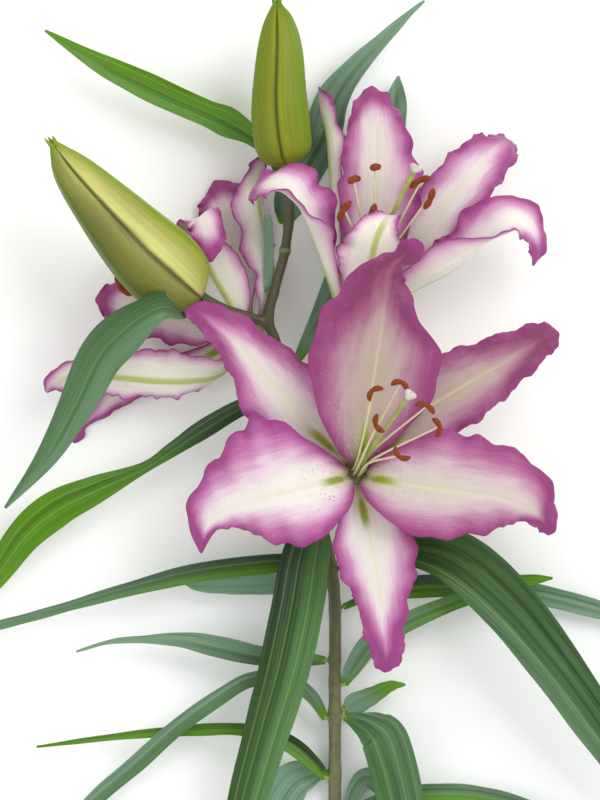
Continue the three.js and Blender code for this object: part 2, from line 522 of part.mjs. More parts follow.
const LEAVES = [
  [[-53, 45.5, 36.5, 2.2, 2.2], [-58, 41.5, 49, 3, 3], [-67, 46, 63, 5.5, 8.5],
    [-76, 43, 65.5, 8.5, 8.5], [-87.5, 34.5, 63, 12, 11.5], [-100, 21.3, 58, 12, 11.5],
    [-111.8, -2.2, 54, 9.6, 9.2], [-127, -28.5, 51, 5.8, 5.4], [-147.5, -54, 47, 0.7, 0.7]],
  [[-10.2, 113, 25.5, 2, 2], [-15, 124, 21, 3.5, 3.5], [-24, 132.5, 17.5, 5, 5],
    [-36, 139.5, 16, 8, 7.8], [-49, 145, 17, 6.9, 6.9], [-66, 152.5, 19, 7.3, 7.3],
    [-85, 161.5, 21, 6.8, 6.8], [-104, 171, 23, 4.6, 4.6], [-128, 185.5, 25, 0.6, 0.6]],
  [[-8, 88, 23, 3, 3], [-5, 98, 20, 9, 8], [2, 115, 15, 11, 10], [11, 132, 12, 11, 10],
    [17.5, 151.5, 11, 9.5, 7.5], [28.5, 167, 13, 6.5, 5], [42, 181, 17, 4, 3], [54, 193, 20, 2, 1.6],
    [62.5, 200.5, 22, 0.6, 0.6]],
  [[-2, 19, 19, 2, 2], [15, 50, 9, 7, 7], [33, 95, 6, 9, 9], [44, 130, 6, 8, 8], [48, 150, 7, 6, 6],
    [49.5, 163, 9, 0.6, 0.6]],
  [[-16.2, 54, 24.6, 1.6, 1.6], [-15.8, 64, 24.6, 2.3, 2.3], [-15.6, 78, 24.4, 2.5, 2.5],
    [-16, 88, 24.2, 2.3, 2.3], [-16.3, 93.3, 24, 1.2, 1.2]],
  [[-8.5, -6, 20, 2.5, 2.5], [-20, -1.5, 23, 4, 4], [-30.5, -4.2, 25, 4.5, 4.5],
    [-49, -15, 26, 5.1, 5.1], [-63.5, -24.5, 26, 3.8, 3.8], [-78, -33.8, 25, 3, 3],
    [-104, -45.6, 23, 7.6, 7.6], [-122, -54.4, 20.5, 9.8, 9.8], [-138, -67.5, 18, 9.2, 9.2],
    [-152, -87, 14.5, 6.5, 6.5], [-168, -112, 11, 0.6, 0.6]],
  [[11.5, -84, 16, 2.5, 2.5], [0, -82.5, 20, 5, 5], [-18, -82.5, 22, 5.1, 5.1], [-53, -87, 22, 5, 5],
    [-88, -95.6, 21, 3.6, 3.6], [-114, -103, 18, 2.6, 2.6],
    [-135, -109, 15, 2.4, 2.4], [-151, -113.2, 12, 2.3, 2.3],
    [-170, -118.5, 9, 0.6, 0.6]],
  [[12, -93, 12, 2, 2], [-5, -92.5, 12, 5, 5], [-30, -93, 13, 5, 5], [-50, -93.5, 13, 3, 3],
    [-57.5, -92.5, 13, 0.6, 0.6]],
  [[12.8, -131, 13, 2, 2], [0, -130, 15, 4, 4], [-20, -128, 17, 5.6, 4.6], [-40, -123.7, 17, 6.3, 5.2],
    [-57.5, -120.4, 16, 4.6, 3.8], [-75, -120, 15, 2.6, 2], [-95, -121.5, 13, 1.2, 1.2],
    [-112.5, -126.5, 12, 0.6, 0.6]],
  [[12.9, -160, 12, 2, 2], [5, -148, 15, 3.5, 3.5], [-8, -139.5, 18, 4.2, 3.4], [-25, -140, 21, 4.4, 3.2],
    [-40, -148.3, 23, 4.8, 3.6], [-61.5, -163.5, 22, 5, 3.8],
    [-82.5, -182.5, 18, 5, 4.2], [-100, -197.5, 14, 4.5, 4],
    [-115, -213, 11, 3, 3], [-126, -226, 9, 0.6, 0.6]],
  [[12.9, -190, 10, 2, 2], [8, -184, 12, 3.6, 3.6], [-2, -175, 14, 4.6, 4.6], [-14, -168.5, 14, 3.8, 3.8],
    [-31.5, -165.5, 14, 3.2, 3.2], [-50, -165.8, 13.5, 3.1, 3.1], [-75, -167.5, 13, 2.3, 2.3],
    [-100, -170.2, 11, 1.6, 1.6], [-132.5, -174.5, 9, 0.6, 0.6]],
  [[8.5, -57, 22.5, 3, 3], [5, -70, 30, 11, 11], [2, -84, 33, 13.2, 13.2], [-1.5, -105, 35, 13.8, 13.8],
    [-8, -135, 35, 13.5, 13.5], [-16.5, -165, 33, 12.2, 12],
    [-25, -195, 30, 10.6, 10.6], [-33, -225, 26, 8, 8],
    [-41, -250, 22, 0.7, 0.7]],
  [[12.9, -187, 5, 2, 2], [5, -189, 6, 6, 8], [-4, -194, 6.5, 9, 12], [-12, -208, 6, 10, 11],
    [-16, -226, 5, 8, 8], [-18, -246, 4, 0.6, 0.6]],
  [[22.3, -159, 13, 2, 2], [29, -161, 17, 4, 5.5], [37, -165.5, 20, 10, 9.5], [42.5, -173, 21.5, 13.5, 11.5],
    [50, -200, 20, 12.5, 12], [52, -220, 17, 11, 10], [53, -240, 13, 6, 6], [53.5, -252, 11, 0.7, 0.7]],
  [[23.2, -212, 5.5, 1.6, 2], [26.5, -199, 5.5, 3.6, 4.5], [33, -191, 6, 6, 5], [44, -195, 6, 8, 7],
    [52, -212, 5, 7, 7], [57, -232, 4, 0.6, 0.6]],
  [[22.2, -156, 9.5, 2, 2], [27, -153.5, 10, 6, 5.5], [36, -149, 12, 5, 4.5], [45, -144, 14, 3, 3],
    [53, -143, 14, 0.6, 0.6]],
  [[22, -143, 14, 2, 2], [26, -135, 16, 4, 4.5], [36, -121.5, 19, 5.5, 6], [56, -110.5, 20, 5, 5],
    [78, -101.5, 19, 4.5, 4], [100, -93.5, 18, 4, 4], [115, -90.5, 17, 3, 3], [127, -89.5, 17, 0.6, 0.6]],
  [[21.3, -84, 18.5, 2.5, 2.5], [38, -76, 26, 7, 6], [60, -76, 32, 14, 8.5], [80, -84, 35, 18, 11],
    [105, -106, 36, 17, 13], [128, -133, 34, 14, 13.5], [148, -160, 30, 11.5, 13], [165, -185, 25, 10, 10],
    [180, -210, 19, 0.8, 0.8]],
  [[21.8, -104, 12, 1.6, 1.6], [35, -99, 11, 2.5, 2.5], [58, -94, 10, 6, 6], [85, -94, 9, 5.5, 5.5],
    [115, -97, 8, 5.5, 5.5], [145, -104, 7, 5, 5], [170, -112, 6, 3, 3], [185, -118, 5, 0.6, 0.6]],
  [[22.1, -208, 10, 2, 2], [40, -202, 12, 4, 4], [62, -198, 12, 5, 5], [88, -198.5, 10, 4.8, 4.8],
    [115, -205, 8, 4, 4], [140, -215, 6, 0.6, 0.6]],
];

function leafMesh(rows, index) {
  const shaped = rows.map((row) => [...row.slice(0, 5), LEAF_CUP, 0]);
  const blade = { rows: shaped, waves: LEAF_WAVES, phase: PHASE_STEP.leaf * index };
  return named(`leaf_${index + 1}`, bladeGeometry(blade, LEAF_STEPS, LEAF_THICKNESS, LEAF_THICKNESS), LEAF);
}

// ---------------------------------------------------------------- the whole lily

function named(name, geometry, finish) {
  const mesh = new THREE.Mesh(geometry, finish);
  mesh.name = name;
  return mesh;
}

const lily = new THREE.Group();
lily.add(named("stem", stemGeometry(), STEM));
for (const [bloomName, tepals] of Object.entries(TEPALS)) {
  Object.entries(tepals).forEach(([tepalName, tepal], order) => {
    lily.add(tepalMesh(bloomName, tepalName, tepal, order));
  });
  const bloom = BLOOMS[bloomName];
  const style = STYLES[bloomName];
  const stamens = stamensGeometry(bloom, ANTHERS[bloomName], style);
  lily.add(named(`${bloomName}_bloom_stamens`, stamens, STAMEN));
  lily.add(named(`${bloomName}_bloom_pistil`, pistilGeometry(bloom, style), PISTIL));
}
for (const [budName, bud] of Object.entries(BUDS)) {
  lily.add(named(`${budName}_bud`, budGeometry(bud), BUD));
}
LEAVES.forEach((rows, index) => lily.add(leafMesh(rows, index)));
lily.position.copy(PLAN_SHIFT);

export default lily;
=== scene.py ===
# %% [markdown]
# # A cut lily
# One cut stem of a garden lily lies on a pale studio floor: three open blooms, two closed buds and
# twenty leaves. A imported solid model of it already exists, and it is the frame for this scene: it
# fixes where each piece is and how big it is. What it lacks is everything that a hand lens shows,
# so each piece gets a finer mesh here, in the same place, and a material of its own.

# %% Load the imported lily
import bmesh
import bpy
import numpy as np
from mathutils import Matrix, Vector


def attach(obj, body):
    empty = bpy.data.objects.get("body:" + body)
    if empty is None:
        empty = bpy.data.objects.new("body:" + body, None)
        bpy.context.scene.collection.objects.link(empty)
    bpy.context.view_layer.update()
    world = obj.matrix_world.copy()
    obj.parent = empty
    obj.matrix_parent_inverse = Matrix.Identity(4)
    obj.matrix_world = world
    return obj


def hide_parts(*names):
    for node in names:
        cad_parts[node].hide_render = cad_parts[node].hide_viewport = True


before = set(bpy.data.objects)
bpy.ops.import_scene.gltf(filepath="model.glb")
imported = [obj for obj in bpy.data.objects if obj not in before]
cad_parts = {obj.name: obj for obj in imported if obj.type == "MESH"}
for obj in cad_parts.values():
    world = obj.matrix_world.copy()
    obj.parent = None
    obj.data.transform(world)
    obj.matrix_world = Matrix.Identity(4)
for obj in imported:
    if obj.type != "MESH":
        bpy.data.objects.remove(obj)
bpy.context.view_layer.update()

print("pieces in the frame:", len(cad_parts))

# %% [markdown]
# ## The camera
# The lily lies on its back, so the camera hangs straight above it and looks down. A very long
# lens from far away keeps the high front bloom and the low leaves at nearly the same scale, as in
# a catalogue picture. The picture's long side covers 400 mm at the height of the front bloom.

# %% The camera
scene = bpy.context.scene
BLOOM_LEVEL = 0.050
PICTURE_LONG_SIDE = 0.400
LENS_MM, SENSOR_MM = 600.0, 36.0
PICTURE_CENTRE = (-0.0075, 0.0645)

camera = bpy.data.objects.new("camera", bpy.data.cameras.new("camera"))
scene.collection.objects.link(camera)
camera.data.lens = LENS_MM
camera.data.sensor_width = SENSOR_MM
distance = PICTURE_LONG_SIDE * LENS_MM / SENSOR_MM
camera.location = (*PICTURE_CENTRE, BLOOM_LEVEL + distance)
camera.data.clip_end = 100.0
scene.camera = camera
print("camera height in metres:", round(camera.location.z, 3))

# %% [markdown]
# ## Adding a node in one line
# Every material and every Geometry Nodes tree is a handful of nodes with settings and links. One
# small function does all of it: it makes the node, sets its properties, and fills each named
# input either with a plain value or with a link from another node's output. The surface shader,
# which every new material has already, is filled in the same way. Colours are written
# as the hex values that a painter picks on screen, and one function turns them into the linear
# light values that Blender calculates with.

# %% Helpers for nodes and colours
def add(tree, kind, inputs=None, stops=(), **settings):
    node = tree.nodes.new(kind)
    for name, value in settings.items():
        setattr(node, name, value)
    for number, (place, colour) in enumerate(stops):
        ramp = node.color_ramp.elements
        stop = ramp[number] if number < len(ramp) else ramp.new(place)
        stop.position, stop.color = place, linear(colour)
    fill(tree, node, inputs or {})
    return node


def fill(tree, node, inputs):
    for socket, value in inputs.items():
        if isinstance(value, bpy.types.NodeSocket):
            tree.links.new(value, node.inputs[socket])
        else:
            node.inputs[socket].default_value = value


def new_material(name):
    material = bpy.data.materials.new(name)
    material.use_nodes = True
    return material, material.node_tree, material.node_tree.nodes["Principled BSDF"]


def linear(hex_colour):
    parts = [int(hex_colour[i:i + 2], 16) / 255 for i in (1, 3, 5)]
    light = [p / 12.92 if p <= 0.04045 else ((p + 0.055) / 1.055) ** 2.4 for p in parts]
    return (*light, 1.0)


print("mid grey in linear light:", round(linear("#808080")[0], 3))

# %% [markdown]
# ## Floor and light
# The floor is matt off-white paint. A bright room gives light from everywhere. The stronger soft
# box hangs to the upper right of the plant, which models the ruffles and leaves a faint soft
# shadow to the lower left. The weaker one on the left keeps that shadow from going dark.

# %% Floor, soft boxes and room light
FLOOR_SIDE = 12.0
ROOM_STRENGTH = 0.88


def studio_floor():
    material, tree, surface = new_material("matt_floor_paint")
    fill(tree, surface, {
        "Base Color": linear("#FCFCFB"), "Roughness": 0.9, "Specular IOR Level": 0.1,
    })
    half = FLOOR_SIDE / 2
    corners = [(-half, -half, 0), (half, -half, 0), (half, half, 0), (-half, half, 0)]
    mesh = bpy.data.meshes.new("floor")
    mesh.from_pydata(corners, [], [(0, 1, 2, 3)])
    mesh.materials.append(material)
    floor = bpy.data.objects.new("floor", mesh)
    scene.collection.objects.link(floor)


def soft_box(name, place, aim, size, power):
    light = bpy.data.lights.new(name, "AREA")
    light.shape = "SQUARE"
    light.size = size
    light.energy = power
    box = bpy.data.objects.new(name, light)
    box.location = place
    direction = Vector(aim) - Vector(place)
    box.rotation_euler = direction.to_track_quat("-Z", "Y").to_euler()
    scene.collection.objects.link(box)


studio_floor()
soft_box("key_box", place=(1.3, 1.2, 1.9), aim=(0, 0.05, 0.03), size=1.5, power=31.0)
soft_box("fill_box", place=(-1.7, -0.4, 1.9), aim=(0, 0, 0.03), size=1.6, power=9.0)
room = bpy.data.worlds.new("studio_room")
room.use_nodes = True
room.node_tree.nodes["Background"].inputs["Color"].default_value = (1.0, 1.0, 1.0, 1.0)
room.node_tree.nodes["Background"].inputs["Strength"].default_value = ROOM_STRENGTH
scene.world = room
scene.view_settings.view_transform = "Standard"

# %% [markdown]
# ## Smooth curves
# Tepals, leaves, stalks and buds all follow a line in space. A few measured points are enough,
# because a smooth curve is passed through them, and the same kind of curve carries the widths and
# the angles. All places are in millimetres of the plan seen from above, with the stem's cut end
# at the bottom. A shift then puts the middle of the whole plant over the origin.

# %% Curves through measured points
PLAN_SHIFT = np.array([-7.5, 64.5, 0.0])
UP = np.array([0.0, 0.0, 1.0])
MM = 0.001


def through(points):
    points = np.array(points, float)
    padded = np.vstack([2 * points[0] - points[1], points, 2 * points[-1] - points[-2]])

    def at(share):
        place = np.clip(share, 0, 1) * (len(points) - 1)
        step = np.minimum(place.astype(int), len(points) - 2)
        w = (place - step)[:, None]
        before, start, end, after = (padded[step + i] for i in range(4))
        a, b = (end - before) / 2, (after - start) / 2
        bend, turn_back = 3 * (end - start) - 2 * a - b, 2 * (start - end) + a + b
        return start + a * w + bend * w**2 + turn_back * w**3

    return at


def unit(vectors):
    return vectors / np.linalg.norm(vectors, axis=-1, keepdims=True)


def direction_along(curve, share, step=1e-4):
    return unit(curve(np.minimum(share + step, 1)) - curve(np.maximum(share - step, 0)))


def smoothstep(low, high, value):
    t = np.clip((value - low) / (high - low), 0, 1)
    return t * t * (3 - 2 * t)


def bump(value, centre, width):
    return np.exp(-(((value - centre) / width) ** 2))


def ripple(count, along, shift):
    return np.sin(2 * np.pi * count * along + shift)


def turned(vectors, axis, angle):
    """Turns vectors that are square to the axis about it."""
    return vectors * np.cos(angle)[..., None] + np.cross(axis, vectors) * np.sin(angle)[..., None]


def length_along(line):
    """Millimetres from the first point of a line to each of its points, as a column."""
    steps = np.linalg.norm(np.diff(line, axis=0), axis=1)
    return np.concatenate([[0], np.cumsum(steps)])[:, None]


middle_of_bend = through([[0, 0, 0], [10, 0, 4], [20, 0, 0]])(np.array([0.5]))[0]
print("a curve through three points passes the second at:", middle_of_bend)

# %% [markdown]
# ## From arrays to a Blender object
# Numpy works out all points of a piece at once. This cell turns them into a mesh in metres, gives
# it its materials, its UV map and named attributes, and hands the finished object over to the
# frame: it rides on the one body of the lily, and stands for the solid of the same name.

# %% Making and handing over a piece
def make_piece(name, points_mm, faces, materials, face_slots=None, uv=None, attributes=None):
    mesh = bpy.data.meshes.new(name)
    points = (np.asarray(points_mm).reshape(-1, 3) + PLAN_SHIFT) * MM
    mesh.from_pydata(points.tolist(), [], faces)
    for material in materials:
        mesh.materials.append(material)
    if face_slots is not None:
        mesh.polygons.foreach_set("material_index", np.asarray(face_slots, np.int32))
    mesh.polygons.foreach_set("use_smooth", np.ones(len(mesh.polygons), bool))
    if uv is not None:
        corners = np.empty(len(mesh.loops), np.int32)
        mesh.loops.foreach_get("vertex_index", corners)
        layer = mesh.uv_layers.new(name="UVMap")
        layer.data.foreach_set("uv", np.asarray(uv)[corners].ravel())
    for key, values in (attributes or {}).items():
        values = np.asarray(values, float)
        kind = "FLOAT_VECTOR" if values.ndim == 2 else "FLOAT"
        attribute = mesh.attributes.new(key, kind, "POINT")
        attribute.data.foreach_set("vector" if values.ndim == 2 else "value", values.ravel())
    mesh.update()
    piece = bpy.data.objects.new(name, mesh)
    scene.collection.objects.link(piece)
    return piece


def lay_on_floor(piece):
    """Flattens what would reach below the surface that the lily lies on."""
    for vertex in piece.data.vertices:
        vertex.co.z = max(0.0, vertex.co.z)


def hand_over(piece, slot, *nodes):
    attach(piece, "root")
    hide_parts(*nodes)


def layers(shape, *values):
    """Each value spread over a whole sheet of points, side by side as the channels of a vector."""
    return np.stack([np.broadcast_to(value, shape).ravel() for value in values], -1)


print("channels of a two by three sheet:", layers((2, 3), 0, 1, 2).shape)

# %% [markdown]
# ## Thin sheets: how a tepal or a leaf is shaped
# A lily's tepal and its leaf are the same kind of thing: a thin sheet about a midrib. Each row of
# the tables below holds a point of the midrib, the half-width to the left and to the right of it,
# the cup in degrees and the roll in degrees. The margins of the sheet ruffle in slow waves.
# Modelling this by hand, vertex by vertex, would never give thirty-eight sheets that belong to
# one plant. A rule with a phase of its own for each sheet does.

# %% The surface of a sheet
WAVES_RISE = (0.18, 0.5)      # shares of the length between which the waves set in
WAVES_FALL = (0.93, 1.0)
FULL_WAVE_WIDTH = 12.0        # mm; narrower sheets have lower waves
HAND_LAG = 0.9                # radians between the two margins
OUTLINE_BEAT = 1.7            # the outline's waves against those of the height
BASE_TWIST = (0.08, 0.45)     # shares of the length over which the foot turns into the blade
FLATTEST_CUP = 1e-4           # radians; the formula of an arc can't take none at all


def sheet_surface(sheet, along, across, waves, phase):
    """Points, normals and millimetres from the midrib, for each step along and across."""
    table = np.array([list(row) + [0] * (7 - len(row)) for row in sheet["rows"]], float)
    midrib, shape = through(table[:, :3]), through(table[:, 3:])
    centre = midrib(along)
    tangent = direction_along(midrib, along)
    left = np.cross(UP, tangent)
    if sheet.get("side") is not None:
        left = np.tile(unit(np.array(sheet["side"], float)), (len(along), 1))
    if sheet.get("base_side") is not None:
        at_base = (1 - smoothstep(*BASE_TWIST, along))[:, None]
        left = left + (sheet["base_side"] - left) * at_base
    left = unit(left - tangent * np.sum(left * tangent, axis=1, keepdims=True))
    left_half, right_half, cup, roll = shape(along).T
    left = turned(left, tangent, np.radians(roll))
    face = np.cross(tangent, left)

    along, hand, reach = along[:, None], np.sign(across)[None, :], np.abs(across)[None, :]
    beat = 2 * np.pi * waves["count"] * along + phase + hand * HAND_LAG
    fade = smoothstep(*WAVES_RISE, along) * (1 - smoothstep(*WAVES_FALL, along))
    half = np.where(hand > 0, left_half[:, None], right_half[:, None])
    width = half * (1 + waves["width"] * fade * np.sin(OUTLINE_BEAT * beat))
    cup = np.radians(cup)[:, None]
    cup = np.where(np.abs(cup) < FLATTEST_CUP, FLATTEST_CUP, cup)
    sideways = hand * width * np.sin(cup * reach) / cup
    edge = np.maximum(0, (reach - waves["from"]) / (1 - waves["from"])) ** 1.5
    size = waves["height"] * np.minimum(1, width / FULL_WAVE_WIDTH)
    lift = width * (1 - np.cos(cup * reach)) / cup + size * edge * fade * np.sin(beat)
    points = centre[:, None] + left[:, None] * sideways[..., None] + face[:, None] * lift[..., None]
    upright, leaning = np.cos(cup * reach), hand * np.sin(cup * reach)
    normals = face[:, None] * upright[..., None] - left[:, None] * leaning[..., None]
    return points, normals, hand * width * reach, fade


# %% [markdown]
# A sheet is closed into a thin solid: an upper and a lower grid, and a strip all round between
# them. The upper grid takes the first material and the lower grid the second, because the two
# faces of a petal or a leaf never look alike. An attribute that differs between the faces comes
# as a pair.

# %% Closing a sheet
def close_sheet(name, upper, lower, uv, attributes, materials):
    rows, columns = upper.shape[:2]
    index = np.arange(rows * columns).reshape(rows, columns)
    a, b, c, d = index[:-1, :-1], index[1:, :-1], index[1:, 1:], index[:-1, 1:]
    under = rows * columns
    top_faces = np.stack([a, d, c, b], -1).reshape(-1, 4)
    low_faces = np.stack([a, b, c, d], -1).reshape(-1, 4) + under
    rim = np.concatenate([index[0, :-1], index[:-1, -1], index[-1, :0:-1], index[:0:-1, 0]])
    after = np.roll(rim, -1)
    rim_faces = np.stack([rim, rim + under, after + under, after], -1)
    faces = np.concatenate([top_faces, low_faces, rim_faces]).tolist()
    slots = [0] * len(top_faces) + [1] * len(low_faces) + [0] * len(rim_faces)
    points = np.concatenate([upper.reshape(-1, 3), lower.reshape(-1, 3)])
    both = {}
    for key, value in attributes.items():
        pair = value if isinstance(value, tuple) else (value, value)
        both[key] = np.concatenate(pair)
    piece = make_piece(name, points, faces, materials, slots, np.concatenate([uv, uv]), both)
    lay_on_floor(piece)
    return piece


print("slow waves set in and fade at these shares of the length:", WAVES_RISE, WAVES_FALL)

# %% [markdown]
# ## The tables of the tepals
# A lily has no green cup of sepals: three outer and three inner tepals look alike, and only their
# width tells them apart. The outer ones are called sepals here and the inner ones petals. The
# turn is the angle round the bloom's axis at which a tepal's narrow foot stands.

